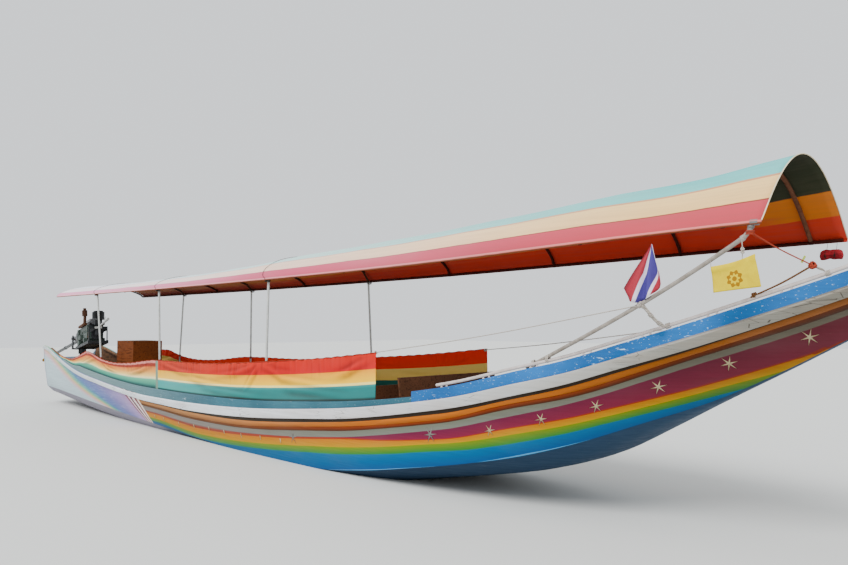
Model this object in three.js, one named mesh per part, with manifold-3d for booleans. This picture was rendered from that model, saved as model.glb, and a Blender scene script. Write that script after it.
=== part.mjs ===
// Longtail boat: a slim planked river boat with an upswept bow, a barrel canopy on tube
// frames, bench seats, and an open engine on a swivel yoke that drives a propeller at
// the end of a long shaft. Millimetres, +Z up, +X to the bow, +Y to port.
// Lengths along the boat are written from the transom, and the whole boat is then moved
// back by half its length, so that the origin is amidships on the waterline.

import * as THREE from 'three';
import { mergeVertices } from 'three/addons/utils/BufferGeometryUtils.js';
import Module from 'manifold-3d';

const wasm = await Module();
wasm.setup();

// Driving dimensions
const LENGTH = 17200;          // transom to the prow's tip
const PLANK = 28;              // thickness of the hull planking
const GAP = 0.3;               // running gap between pieces that touch
const CUT_GAP = 0.6;           // gap where a piece is scribed to the planking
const RIB = { depth: 40, width: 45 };
const WATERLINE = 0;

// Hull sections, from the transom (x) forward.
// keel: bottom on the centre line, chineY/chineZ: corner of bottom and side,
// sheerY/sheerZ: top edge of the side.
const HULL_COLUMNS = ['x', 'keel', 'chineY', 'chineZ', 'sheerY', 'sheerZ'];
const HULL_TABLE = [
  [0, 160, 420, 330, 520, 1170],
  [500, 120, 445, 310, 555, 1038],
  [1000, 80, 470, 288, 585, 930],
  [2100, 0, 530, 235, 655, 727],
  [3300, -80, 580, 175, 715, 614],
  [4250, -130, 612, 130, 745, 542],
  [5200, -165, 642, 85, 770, 497],
  [6050, -184, 669, 50, 797, 496],
  [6800, -200, 692, 20, 820, 506],
  [8000, -205, 720, -25, 848, 548],
  [9200, -180, 738, -5, 853, 632],
  [10000, -110, 742, 75, 850, 707],
  [10800, 45, 722, 205, 838, 812],
  [11400, 155, 688, 315, 815, 910],
  [12000, 285, 624, 450, 770, 1048],
  [12500, 460, 535, 603, 715, 1162],
  [12950, 700, 405, 775, 652, 1296],
  [13400, 935, 130, 960, 588, 1432],
  [13900, 1200, 45, 1208, 500, 1596],
  [14500, 1528, 34, 1533, 372, 1806],
  [15200, 1868, 30, 1872, 240, 2068],
  [15900, 2185, 28, 2189, 140, 2352],
];

// Canopy sections: eave is the height of the cloth's lower corner, ridge its top.
const CANOPY_COLUMNS = ['x', 'eave', 'ridge'];
const CANOPY_TABLE = [
  [1500, 2052, 2242],
  [2600, 2055, 2240],
  [3250, 2057, 2240],
  [4400, 2060, 2250],
  [5500, 2064, 2276],
  [6900, 2074, 2320],
  [8350, 2088, 2400],
  [9800, 2106, 2458],
  [11300, 2137, 2535],
  [12700, 2174, 2628],
  [13400, 2192, 2668],
  [13820, 2200, 2716],
  [14080, 2204, 2745],
];
const CANOPY = { half: 806, cloth: 6, skirt: 25, fullness: 1.4, arcSteps: 12 };
const TUBE = { hoop: 14, sides: 8, strut: 15, rail: 12, stub: 7 };
const EAVE_PIPE_Y = CANOPY.half - CANOPY.cloth - GAP - TUBE.hoop;
const EAVE_PIPE_DROP = 10;
const RACK_FRONT = 14054;
const LEGGED_FRAMES = [3250, 5500, 8350];
const PLAIN_HOOPS = [1500, 4400, 6900, 9800, 11300, 12700, 13820];

const COAMING = { thick: 22, setIn: 3, from: 1300, change: 10870, to: 15900, boardHeight: 100 };
const COAMING_COLUMNS = ['x', 'height'];
const COAMING_TABLE = [
  [1300, 25],
  [1970, 58],
  [2250, 97],
  [3300, 98],
  [4250, 106],
  [5200, 120],
  [6800, 112],
  [8000, 95],
  [9200, 78],
  [10870, 52],
];
const STRAKE = { height: 105, thick: 20 };
const INWALE = { width: 50, depth: 35, from: 350, to: 12600 };
const AFT_DECK = { top: 460, thick: 22, from: 4, to: 4200 };
const FOREDECK = { drop: 40, thick: 20, from: 13900, to: 15880 };
const FLOOR = { thick: 20, timber: 50, from: 4230, to: 12200 };
const BENCH = { first: 4950, pitch: 1130, count: 6, seat: 415, deep: 360, board: 24, back: 430, lean: 9, legShare: 0.55 };
const DRIVER_BOX = { from: 2850, to: 3500, half: 250, top: 1250, wall: 18 };
const TRANSOM = { thick: 35, notchTop: 880, notchHalf: 300, shoulderY: 492, shoulderZ: 1018, cornerY: 508, cornerZ: 1070 };
// Where the planking, the floor and the keelson are butted, from the stern forward.
const BUTTS = {
  bottom: [0, 4250, 6050, 8000, 12000, 15900],
  side: [0, 10800, 13400, 15900],
  floor: [4230, 6800, 9600, 12200],
  keelson: [0, 9700, 16000],
};
const RIB_AT = [520, 1600, 2700, 3700, 4560, 5130, 6260, 7390, 8520, 9650, 10780, 11250, 12000, 12700, 13400, 14200, 15000];

// Drive: the swivel stands on the aft deck, the engine ahead of it, the tail behind.
const PIVOT = { x: 600, z: 1250 };
const REST = { yaw: -12, tilt: -6 };      // tail to port, and tail down, in degrees
const TAIL = { tube: 32, from: -260, to: -5330, prop: -5440, propRadius: 170, blades: 3 };
const TRUNNION = { radius: 22, bore: 22.7, inner: 90, outer: 205 };

const rad = THREE.MathUtils.degToRad;

// Colours of the real surfaces
const FINISH = {
  plankBlue: { color: 0x2f86c9, roughness: 0.5 },
  plankStripes: { color: 0xa84a3c, roughness: 0.5 },
  whitePaint: { color: 0xd9dcd8, roughness: 0.55 },
  tealPaint: { color: 0x5f8f97, roughness: 0.6 },
  bluePaint: { color: 0x3f8fd0, roughness: 0.6 },
  brownWood: { color: 0x7a4b2c, roughness: 0.75 },
  orangeWood: { color: 0xa5602c, roughness: 0.6 },
  paleTube: { color: 0xc9ccca, roughness: 0.4, metalness: 0.6 },
  canopyCloth: { color: 0xd98a8a, roughness: 0.8 },
  sideCloth: { color: 0xe2452e, roughness: 0.8 },
  flagCloth: { color: 0xf2dd1e, roughness: 0.8 },
  stripedFlag: { color: 0xb03a4a, roughness: 0.8 },
  darkSteel: { color: 0x3a3d40, roughness: 0.5, metalness: 0.8 },
  engineIron: { color: 0x4b5a52, roughness: 0.6, metalness: 0.6 },
  alloy: { color: 0x9a9c9e, roughness: 0.45, metalness: 0.8 },
  rust: { color: 0x6b4634, roughness: 0.85, metalness: 0.3 },
  bronze: { color: 0xa9823f, roughness: 0.35, metalness: 0.9 },
};

// General shape helpers

// Reads one column of a station table at x, straight between the stations.
function column(table, names, name, x) {
  const c = names.indexOf(name);
  if (x <= table[0][0]) return table[0][c];
  for (let i = 1; i < table.length; i++) {
    if (x <= table[i][0]) {
      const t = (x - table[i - 1][0]) / (table[i][0] - table[i - 1][0]);
      return table[i - 1][c] + t * (table[i][c] - table[i - 1][c]);
    }
  }
  return table[table.length - 1][c];
}

const hull = (name, x) => column(HULL_TABLE, HULL_COLUMNS, name, x);
const roof = (name, x) => column(CANOPY_TABLE, CANOPY_COLUMNS, name, x);

// Height order across a section, so that neighbouring skins split their panels alike.
const panelOrder = (p) => p.z + 0.35 * Math.abs(p.y);

// Closes one end of a loft.
function cap(ring, first, indices) {
  const normal = new THREE.Vector3();
  ring.forEach((p, i) => {
    const q = ring[(i + 1) % ring.length];
    normal.x += (p.y - q.y) * (p.z + q.z);
    normal.y += (p.z - q.z) * (p.x + q.x);
    normal.z += (p.x - q.x) * (p.y + q.y);
  });
  normal.normalize();
  const across = Math.abs(normal.x) > 0.7 ? new THREE.Vector3(0, 1, 0) : new THREE.Vector3(1, 0, 0);
  const u = across.cross(normal).normalize();
  const v = normal.clone().cross(u);
  const flat = ring.map((p) => new THREE.Vector2(p.dot(u), p.dot(v)));
  for (const t of THREE.ShapeUtils.triangulateShape(flat, [])) {
    indices.push(first + t[0], first + t[1], first + t[2]);
  }
}

// A closed skin through rings of points, all with the same number of points.
function loft(rings) {
  const positions = [];
  const indices = [];
  const n = rings[0].length;
  rings.forEach((ring) => ring.forEach((p) => positions.push(p.x, p.y, p.z)));
  for (let r = 0; r + 1 < rings.length; r++) {
    for (let k = 0; k < n; k++) {
      const j = (k + 1) % n;
      const [a, b] = [r * n + k, r * n + j];
      const [c, d] = [a + n, b + n];
      if (panelOrder(rings[r][k]) <= panelOrder(rings[r][j])) indices.push(a, b, d, a, d, c);
      else indices.push(a, b, c, b, d, c);
    }
  }
  const ends = [];
  cap(rings[0], 0, ends);
  const last = [];
  cap(rings[rings.length - 1], (rings.length - 1) * n, last);
  orientCap(ends, indices);
  orientCap(last, indices);
  const geometry = new THREE.BufferGeometry();
  geometry.setAttribute('position', new THREE.Float32BufferAttribute(positions, 3));
  geometry.setIndex(indices);
  return facedOut(geometry);
}

// Turns a cap so that each edge it shares with the sides runs the other way.
function orientCap(capIndices, indices) {
  const edges = new Set();
  for (let i = 0; i < indices.length; i += 3) {
    for (let e = 0; e < 3; e++) edges.add(`${indices[i + e]}_${indices[i + (e + 1) % 3]}`);
  }
  let same = 0;
  for (let i = 0; i < capIndices.length; i += 3) {
    for (let e = 0; e < 3; e++) {
      if (edges.has(`${capIndices[i + e]}_${capIndices[i + (e + 1) % 3]}`)) same++;
    }
  }
  for (let i = 0; i < capIndices.length; i += 3) {
    const [a, b, c] = capIndices.slice(i, i + 3);
    if (same > 0) indices.push(a, c, b);
    else indices.push(a, b, c);
  }
}

// Turns a closed mesh so that its faces point out.
function facedOut(geometry) {
  const p = geometry.attributes.position;
  const ix = geometry.index.array;
  const [a, b, c] = [new THREE.Vector3(), new THREE.Vector3(), new THREE.Vector3()];
  let volume = 0;
  for (let i = 0; i < ix.length; i += 3) {
    a.fromBufferAttribute(p, ix[i]);
    b.fromBufferAttribute(p, ix[i + 1]);
    c.fromBufferAttribute(p, ix[i + 2]);
    volume += a.dot(b.cross(c));
  }
  if (volume < 0) {
    for (let i = 0; i < ix.length; i += 3) [ix[i + 1], ix[i + 2]] = [ix[i + 2], ix[i + 1]];
  }
  return geometry;
}

// A round bar along a row of points, mitred where it turns.
function bar(points, radius, sides = TUBE.sides) {
  const path = points.map((p) => (p.isVector3 ? p : new THREE.Vector3(...p)));
  const legs = path.slice(1).map((p, i) => p.clone().sub(path[i]).normalize());
  const up = Math.abs(legs[0].z) > 0.9 ? new THREE.Vector3(0, 1, 0) : new THREE.Vector3(0, 0, 1);
  let side = up.sub(legs[0].clone().multiplyScalar(up.dot(legs[0]))).normalize();
  const rings = [];
  path.forEach((p, i) => {
    const before = legs[Math.max(i - 1, 0)];
    const after = legs[Math.min(i, legs.length - 1)];
    const plane = before.clone().add(after).normalize();
    const other = before.clone().cross(side).normalize();
    const ring = [];
    for (let k = 0; k < sides; k++) {
      const t = (2 * Math.PI * k) / sides;
      const spoke = side.clone().multiplyScalar(radius * Math.cos(t));
      spoke.add(other.clone().multiplyScalar(radius * Math.sin(t)));
      const slide = -spoke.dot(plane) / before.dot(plane);
      ring.push(p.clone().add(spoke).add(before.clone().multiplyScalar(slide)));
    }
    rings.push(ring);
    side = side.sub(after.clone().multiplyScalar(side.dot(after))).normalize();
  });
  return loft(rings);
}

// A box from its lowest to its highest corner.
function block(low, high) {
  const size = high.map((v, i) => v - low[i]);
  const geometry = new THREE.BoxGeometry(...size);
  return geometry.translate(...low.map((v, i) => v + size[i] / 2));
}

// A round body along X from [x, radius] pairs.
function turned(profile, sides = 16) {
  const outline = [[profile[0][0], 0], ...profile, [profile[profile.length - 1][0], 0]];
  const lathe = new THREE.LatheGeometry(outline.map(([x, r]) => new THREE.Vector2(r, x)), sides);
  return lathe.rotateZ(-Math.PI / 2);
}

// A drum from one point to another.
const drum = (from, to, radius, sides = 16) => bar([from, to], radius, sides);

// A flat plate: an outline in X and Z, given a thickness along Y.
function plateXZ(outline, yLow, yHigh) {
  const ring = (y) => outline.map(([x, z]) => new THREE.Vector3(x, y, z));
  return loft([ring(yLow), ring(yHigh)]);
}

// Joining and cutting
function solid(geometry) {
  const clean = geometry.clone();
  clean.deleteAttribute('normal');
  clean.deleteAttribute('uv');
  const merged = mergeVertices(clean, 1e-3);
  return new wasm.Manifold(new wasm.Mesh({
    numProp: 3,
    vertProperties: Float32Array.from(merged.attributes.position.array),
    triVerts: Uint32Array.from(merged.index.array),
  }));
}

function shape(manifold) {
  const mesh = manifold.getMesh();
  const geometry = new THREE.BufferGeometry();
  geometry.setAttribute('position', new THREE.Float32BufferAttribute(mesh.vertProperties, 3));
  geometry.setIndex(Array.from(mesh.triVerts));
  return geometry;
}

const join = (geometries) => geometries.map(solid).reduce((a, b) => a.add(b));

// Hull form

// Half a hull section from the keel out to the sheer, at a station of the table.
function sectionPoints(row) {
  const [, keel, chineY, chineZ, sheerY, sheerZ] = row;
  const rise = chineZ - keel;
  const bulge = 12 * Math.min(1, chineY / 400);
  return [
    [0, keel],
    [0.4 * chineY, keel + 0.06 * rise],
    [0.75 * chineY, keel + 0.38 * rise],
    [chineY, chineZ],
    [(chineY + sheerY) / 2 + bulge, (chineZ + sheerZ) / 2 - bulge / 4],
    [sheerY, sheerZ],
  ];
}

// The same half section drawn in by an inset, each point moved towards the middle of the
// boat's open top until it lies on the nearest inset line.
function insetPoints(row, inset) {
  const outer = sectionPoints(row);
  const sheerZ = row[5];
  return outer.map(([y, z]) => {
    const ray = [y, z - sheerZ];
    let reach = Infinity;
    for (let i = 0; i + 1 < outer.length; i++) {
      const [ay, az] = outer[i];
      const [by, bz] = outer[i + 1];
      const length = Math.hypot(by - ay, bz - az);
      const normal = [(bz - az) / length, -(by - ay) / length];
      const along = ray[0] * normal[0] + ray[1] * normal[1];
      const room = ay * normal[0] + (az - sheerZ) * normal[1] - inset;
      if (along > 1e-9) reach = Math.min(reach, room / along);
    }
    return [ray[0] * reach, sheerZ + ray[1] * reach];
  });
}

// The hull's whole form at an inset from the outer skin, closed across the top.
function hullForm(inset, from = 0, to = LENGTH) {
  const rings = [];
  for (const row of HULL_TABLE) {
    if (row[0] < from || row[0] > to) continue;
    const half = insetPoints(row, inset);
    if (half[0][1] > row[5] - 20 || half[5][0] < 12) break;
    const ring = half.map(([y, z]) => new THREE.Vector3(row[0], y, z));
    const mirrored = half.slice(1).reverse().map(([y, z]) => new THREE.Vector3(row[0], -y, z));
    rings.push([...mirrored, ...ring]);
  }
  return loft(rings);
}

// The layer between two heights that change along the boat, wider than the hull.
function layer(lowAt, highAt, from, to) {
  const xs = [from, ...HULL_TABLE.map((row) => row[0]).filter((x) => x > from + 1 && x < to - 1), to];
  return loft(xs.map((x) => {
    const [low, high] = [lowAt(x), highAt(x)];
    return [[-2000, low], [2000, low], [2000, high], [-2000, high]].map(([y, z]) => new THREE.Vector3(x, y, z));
  }));
}

const portSide = solid(block([-3000, 0, -1000], [20000, 3000, 6000]));
const starboardSide = solid(block([-3000, -3000, -1000], [20000, 0, 6000]));
const insideHull = solid(hullForm(PLANK + CUT_GAP));
const insideRibs = solid(hullForm(PLANK + CUT_GAP + RIB.depth + CUT_GAP));
const sheerAt = (x) => hull('sheerZ', x);
const floorBase = (x) => hull('keel', x) + PLANK + RIB.depth + FLOOR.timber;
const floorTop = (x) => floorBase(x) + FLOOR.thick;

// Pieces of the hull

const at = (x, points) => points.map(([y, z]) => new THREE.Vector3(x, y, z));
const otherSide = (points) => points.map(([y, z]) => [-y, z]).reverse();

// The stations of the table from one butt to the next, with a gap at the after one.
function stationsBetween(from, to) {
  const rows = HULL_TABLE.filter((row) => row[0] >= from && row[0] <= to);
  return rows.map((row) => (row[0] === from && from > 0 ? [from + GAP, ...row.slice(1)] : row));
}

function sidePlanking(side, from, to) {
  return loft(stationsBetween(from, to).map((row) => {
    const walls = [sectionPoints(row).slice(3), insetPoints(row, PLANK).slice(3)];
    for (const wall of walls) {
      const length = Math.hypot(wall[1][0] - wall[0][0], wall[1][1] - wall[0][1]);
      wall[0] = wall[0].map((v, i) => v + (wall[1][i] - v) * CUT_GAP / length);
    }
    return at(row[0], [...walls[0], ...walls[1].reverse()].map(([y, z]) => [side * y, z]));
  }));
}

function bottomPlanking(from, to) {
  return loft(stationsBetween(from, to).map((row) => {
    const outer = sectionPoints(row).slice(0, 4);
    const inner = insetPoints(row, PLANK).slice(0, 4);
    const innerBack = [...inner].reverse();
    return at(row[0], [...otherSide(outer.slice(1)), ...outer, ...innerBack, ...otherSide(innerBack.slice(0, 3))]);
  }));
}

function transom() {
  const edge = sectionPoints([...HULL_TABLE[0].slice(0, 4), TRANSOM.cornerY, TRANSOM.cornerZ]);
  const half = [...edge, [TRANSOM.shoulderY, TRANSOM.shoulderZ], [TRANSOM.notchHalf, TRANSOM.notchTop]];
  const outline = [...otherSide(half.slice(1)), ...half];
  return loft([at(-GAP - TRANSOM.thick, outline), at(-GAP, outline)]);
}

// The solid prow ahead of the planking, up to the tip.
const PROW_COLUMNS = ['x', 'low', 'lowHalf', 'high', 'highHalf'];
const PROW_TABLE = [
  [15900, 2187, 28, 2352, 140],
  [16400, 2428, 26, 2560, 86],
  [16850, 2658, 22, 2770, 52],
  [17200, 2862, 16, 2960, 30],
];

function prow() {
  return loft(PROW_TABLE.map(([x, low, lowHalf, high, highHalf], i) => at(i ? x : x + GAP, [
    [-lowHalf, low], [lowHalf, low], [highHalf, high], [0, high + 8], [-highHalf, high],
  ])));
}

// Frames across the inside of the planking, joined by the keelson.
function ribsAndKeelson(from, to) {
  const ribPlates = RIB_AT.map((x) => solid(block([x - RIB.width / 2, -2000, -1000], [x + RIB.width / 2, 2000, 4000])));
  const ribInner = solid(hullForm(PLANK + CUT_GAP + RIB.depth));
  const deckEnd = AFT_DECK.to + 60;
  const bowStart = FOREDECK.from - 60;
  const belowDeck = AFT_DECK.top - AFT_DECK.thick - GAP;
  const belowInwale = (x) => sheerAt(x) - INWALE.depth - GAP;
  const belowForedeck = (x) => sheerAt(x) - FOREDECK.drop - FOREDECK.thick - GAP;
  const under = [
    layer(() => -1000, () => belowDeck, 0, deckEnd),
    layer(() => -1000, belowInwale, deckEnd + 1, bowStart),
    layer(() => -1000, belowForedeck, bowStart + 1, COAMING.to),
  ].map(solid).reduce((a, b) => a.add(b));
  const plates = ribPlates.reduce((a, b) => a.add(b));
  const timbers = solid(layer(() => -1000, (x) => floorBase(x) - GAP, FLOOR.from + 60, FLOOR.to + 40));
  const ribs = plates.subtract(ribInner).intersect(under).add(plates.intersect(timbers));
  const keelsonTop = (x) => hull('keel', x) + PLANK + RIB.depth + 1;
  const bowTop = (x) => hull('keel', x) + PLANK + RIB.depth + 45;
  const strip = (top, start, end) => solid(layer((x) => hull('keel', x), top, start, end))
    .intersect(solid(block([start, -55, -1000], [end, 55, 4000])));
  const keelson = strip(keelsonTop, 40, FLOOR.to + 60).add(strip(bowTop, FLOOR.to + 50, 15300));
  const stretch = solid(block([from + GAP, -2000, -1000], [to, 2000, 4000]));
  return shape(ribs.add(keelson).intersect(insideHull).intersect(stretch));
}

function inwale(half) {
  const top = solid(layer((x) => sheerAt(x) - INWALE.depth, sheerAt, INWALE.from, INWALE.to));
  const inner = solid(hullForm(PLANK + CUT_GAP + INWALE.width));
  return shape(top.intersect(insideHull).subtract(inner).intersect(half));
}

// The white rubbing strake along the outside of the sheer.
function strake(half) {
  const drop = (x) => {
    const width = hull('sheerY', x) - hull('chineY', x);
    const height = hull('sheerZ', x) - hull('chineZ', x);
    return STRAKE.height * height / Math.hypot(width, height);
  };
  const outer = solid(hullForm(-STRAKE.thick)).subtract(solid(hullForm(-CUT_GAP)));
  const level = solid(layer((x) => sheerAt(x) - drop(x), (x) => sheerAt(x) + 1, 0, COAMING.to));
  return shape(outer.intersect(level).intersect(half));
}

// A plank on edge along the sheer, from one place to another.
function sheerPlank(side, from, to, heightAt) {
  const tables = [...HULL_TABLE, ...COAMING_TABLE].map((row) => row[0]);
  const xs = [from, ...new Set(tables.filter((x) => x > from + 1 && x < to - 1).sort((a, b) => a - b)), to];
  return loft(xs.map((x) => {
    const outerY = side * (hull('sheerY', x) - COAMING.setIn);
    const innerY = outerY - side * COAMING.thick;
    const [low, high] = [sheerAt(x) + GAP, sheerAt(x) + heightAt(x)];
    return at(x, [[outerY, low], [outerY, high], [innerY, high], [innerY, low]]);
  }));
}

const coamingHeight = (x) => column(COAMING_TABLE, COAMING_COLUMNS, 'height', x);
const boardTop = (x) => sheerAt(x) + COAMING.boardHeight;

// The tube rail over the washboard, on pairs of short studs.
const RAIL = { from: 11180, to: 15650, lift: 27, studPitch: 470, studPair: 60, first: 11240 };

const railY = (x) => hull('sheerY', x) - COAMING.setIn - COAMING.thick / 2;
const railZ = (x) => boardTop(x) + RAIL.lift;

function handrail(side) {
  const centre = (x) => [x, side * railY(x), railZ(x)];
  const xs = HULL_TABLE.map((row) => row[0]).filter((x) => x > RAIL.from + 100 && x < RAIL.to - 100);
  let rail = solid(bar([RAIL.from, ...xs, RAIL.to].map(centre), TUBE.rail));
  for (let x = RAIL.first; x + RAIL.studPair < RAIL.to; x += RAIL.studPitch) {
    for (const studX of [x, x + RAIL.studPair]) {
      const [, y, z] = centre(studX);
      rail = rail.add(solid(bar([[studX, y, z - RAIL.lift - 20], [studX, y, z]], TUBE.stub, 6)));
    }
  }
  const above = solid(layer((x) => boardTop(x) + GAP, () => 5000, RAIL.from - 50, RAIL.to + 50));
  return shape(rail.intersect(above));
}

// Decks, floor and seats

function aftDeck() {
  const deck = solid(layer(() => AFT_DECK.top - AFT_DECK.thick, () => AFT_DECK.top, AFT_DECK.from, AFT_DECK.to));
  const riser = solid(block([AFT_DECK.to - AFT_DECK.thick, -1000, -1000], [AFT_DECK.to, 1000, AFT_DECK.top - 1]));
  return shape(deck.intersect(insideHull).add(riser.intersect(insideRibs)));
}

function foredeck() {
  const top = (x) => sheerAt(x) - FOREDECK.drop;
  const deck = layer((x) => top(x) - FOREDECK.thick, top, FOREDECK.from, FOREDECK.to);
  return shape(solid(deck).intersect(insideHull));
}

function floorboards(from, to) {
  return shape(solid(layer(floorBase, floorTop, from + GAP, to)).intersect(insideRibs));
}

function bench(x) {
  const seatZ = floorTop(x + BENCH.deep / 2) + BENCH.seat;
  const share = (seatZ - BENCH.board - hull('chineZ', x)) / (sheerAt(x) - hull('chineZ', x));
  const half = hull('chineY', x) + (hull('sheerY', x) - hull('chineY', x)) * Math.min(share, 1) - 100;
  const lean = BENCH.back * Math.tan(rad(BENCH.lean));
  const pieces = [
    block([x, -half, seatZ - BENCH.board], [x + BENCH.deep, half, seatZ]),
    plateXZ([
      [x, seatZ - 60], [x + 20, seatZ - 60], [x + 20, seatZ],
      [x + 20 - lean, seatZ + BENCH.back], [x - lean, seatZ + BENCH.back], [x, seatZ],
    ], -half, half),
  ];
  for (const y of [-BENCH.legShare * half, BENCH.legShare * half]) {
    pieces.push(block([x + 8, y - 13, seatZ - 700], [x + BENCH.deep - 40, y + 13, seatZ - 5]));
  }
  const aboveFloor = solid(layer((fx) => floorTop(fx) + GAP, () => 3000, x - 300, x + BENCH.deep + 100));
  return shape(join(pieces).intersect(aboveFloor));
}

function driverBox() {
  const { from, to, half, top, wall } = DRIVER_BOX;
  const bottom = AFT_DECK.top + GAP;
  const outer = solid(block([from, -half, bottom], [to, half, top]));
  const inner = solid(block([from + wall, -half + wall, bottom - 10], [to - wall, half - wall, top - wall]));
  return shape(outer.subtract(inner));
}

// Canopy and its tubes

// The roof's outer line at a station, from one hem over the ridge to the other.
function roofLine(x) {
  const [eave, ridge] = [roof('eave', x), roof('ridge', x)];
  const line = [[-CANOPY.half, eave - CANOPY.skirt]];
  for (let k = 0; k <= CANOPY.arcSteps; k++) {
    const t = -Math.PI / 2 + (Math.PI * k) / CANOPY.arcSteps;
    const lift = Math.max(Math.cos(t), 0) ** CANOPY.fullness;
    line.push([CANOPY.half * Math.sin(t), eave + (ridge - eave) * lift]);
  }
  return [...line, [CANOPY.half, eave - CANOPY.skirt]];
}

// The same line moved in by an even distance.
function drawnIn(line, distance) {
  const normals = line.slice(1).map(([y, z], i) => {
    const [dy, dz] = [y - line[i][0], z - line[i][1]];
    const length = Math.hypot(dy, dz);
    return [dz / length, -dy / length];
  });
  return line.map(([y, z], i) => {
    const before = normals[Math.max(i - 1, 0)];
    const after = normals[Math.min(i, normals.length - 1)];
    const mitre = [before[0] + after[0], before[1] + after[1]];
    const scale = (2 * distance) / (mitre[0] ** 2 + mitre[1] ** 2);
    return [y + mitre[0] * scale, z + mitre[1] * scale];
  });
}

const HOOP_INSET = CANOPY.cloth + 2 * GAP + TUBE.hoop;
const pipeZ = (x) => roof('eave', x) - EAVE_PIPE_DROP;
const ridgePipeZ = (x) => roof('ridge', x) - HOOP_INSET - 2 * TUBE.hoop - GAP - 1;
const canopyXs = CANOPY_TABLE.map((row) => row[0]);

// The hoops' centre line, left off a few points in from each hem.
const hoopLine = (x, leftOff) => drawnIn(roofLine(x), HOOP_INSET).slice(leftOff, -leftOff);

function canopyCloth() {
  return loft(canopyXs.map((x) => {
    const outer = roofLine(x);
    return at(x, [...outer, ...drawnIn(outer, CANOPY.cloth).reverse()]);
  }));
}

// Eave pipes and ridge pipe with the hoops that have no legs, welded up as one rack.
function canopyRack() {
  const run = (centre) => bar([...canopyXs.slice(0, -1), RACK_FRONT].map(centre), TUBE.hoop);
  const pieces = [
    run((x) => [x, EAVE_PIPE_Y, pipeZ(x)]),
    run((x) => [x, -EAVE_PIPE_Y, pipeZ(x)]),
    run((x) => [x, 0, ridgePipeZ(x)]),
  ];
  for (const x of PLAIN_HOOPS) {
    const line = [[-EAVE_PIPE_Y, pipeZ(x)], ...hoopLine(x, 2), [EAVE_PIPE_Y, pipeZ(x)]];
    const top = roof('ridge', x) - HOOP_INSET;
    pieces.push(bar(line.map(([y, z]) => [x, y, z]), TUBE.hoop));
    pieces.push(block([x - 10, -9, top - 25], [x + 10, 9, top]));
  }
  return shape(join(pieces));
}

// A frame with legs that stand on the inwales.
const legFootY = (x) => hull('sheerY', x) - COAMING.setIn - COAMING.thick - 26 - TUBE.hoop;
const LEG_TOP_Y = EAVE_PIPE_Y - 2 * TUBE.hoop - 0.5;

function leggedFrame(x) {
  const eave = roof('eave', x);
  const leg = (side) => [
    [side * legFootY(x), sheerAt(x) - 30],
    [side * LEG_TOP_Y, eave - 12],
  ];
  const line = [...leg(-1), ...hoopLine(x, 3), ...leg(1).reverse()];
  const aboveInwale = solid(layer((fx) => sheerAt(fx) + GAP, () => 5000, x - 100, x + 100));
  return shape(solid(bar(line.map(([y, z]) => [x, y, z]), TUBE.hoop)).intersect(aboveInwale));
}

// The slanting strut from the starboard handrail up to the front corner of the roof.
// It sags a little between its ends.
const STRUT = { foot: 12100, meetsRail: 12240, top: 14020, footDrop: 14, topDrop: 64, sagAt: 13150, sag: 45 };
const strutY = (x) => {
  const meetsY = railY(STRUT.meetsRail);
  return meetsY + (EAVE_PIPE_Y - meetsY) * (x - STRUT.meetsRail) / (STRUT.top - STRUT.meetsRail);
};
const strutFootZ = railZ(STRUT.foot) - STRUT.footDrop;
const strutTopZ = roof('eave', STRUT.top) - STRUT.topDrop;
const strutSlope = (strutTopZ - strutFootZ) / (STRUT.top - STRUT.foot);
const strutZ = (x) => {
  const away = x < STRUT.sagAt ? (STRUT.sagAt - x) / (STRUT.sagAt - STRUT.foot) : (x - STRUT.sagAt) / (STRUT.top - STRUT.sagAt);
  return strutFootZ + strutSlope * (x - STRUT.foot) - STRUT.sag * (1 - away ** 2);
};

function strut() {
  const xs = [STRUT.foot, 12450, 12800, STRUT.sagAt, 13500, 13800, STRUT.top];
  const tube = bar(xs.map((x) => [x, -strutY(x), strutZ(x)]), TUBE.strut);
  const pipeBottom = pipeZ(STRUT.top - 70) - TUBE.hoop - 2 * GAP;
  const aboveRail = (x) => railZ(x) + TUBE.rail * 1.06 + GAP;
  const room = solid(layer(aboveRail, () => pipeBottom, STRUT.foot - 200, STRUT.top + 200));
  return shape(solid(tube).intersect(room));
}

// Side cloths, hung outside the legs and tucked inside the coaming.
const CLOTH = { thick: 8, tuck: 12 };
const CLOTH_COLUMNS = ['x', 'top'];
const CLOTH_TABLE = [
  [1300, 925],
  [1580, 902],
  [1850, 908],
  [2120, 930],
  [2380, 965],
  [2650, 1015],
  [2880, 1030],
  [3090, 1009],
  [3320, 967],
  [3550, 942],
  [3990, 924],
  [4390, 935],
  [5390, 1014],
  [6900, 1028],
  [8350, 1100],
  [9500, 1180],
  [10350, 1260],
];

function sideCloth(side) {
  const xs = [...new Set([...CLOTH_TABLE, ...COAMING_TABLE, ...HULL_TABLE].map((row) => row[0]))]
    .filter((x) => x >= CLOTH_TABLE[0][0] && x <= CLOTH_TABLE[CLOTH_TABLE.length - 1][0])
    .sort((a, b) => a - b);
  return loft(xs.map((x) => {
    const low = sheerAt(x) + CLOTH.tuck;
    const top = column(CLOTH_TABLE, CLOTH_COLUMNS, 'top', x);
    const rim = sheerAt(x) + coamingHeight(x);
    const lowY = hull('sheerY', x) - COAMING.setIn - COAMING.thick - GAP * 2;
    const legLean = (LEG_TOP_Y - legFootY(x)) / (roof('eave', x) - sheerAt(x));
    const topY = Math.max(lowY + legLean * (top - rim) + 8, lowY);
    const outer = [[lowY, low], [lowY, rim], [topY, top]];
    const inner = outer.map(([y, z]) => [y - CLOTH.thick, z]).reverse();
    return at(x, [...outer, ...inner].map(([y, z]) => [side * y, z]));
  }));
}

// Two small flags at the starboard strut, as flat cloths.
const FLAG_CLOTH = 4;

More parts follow.
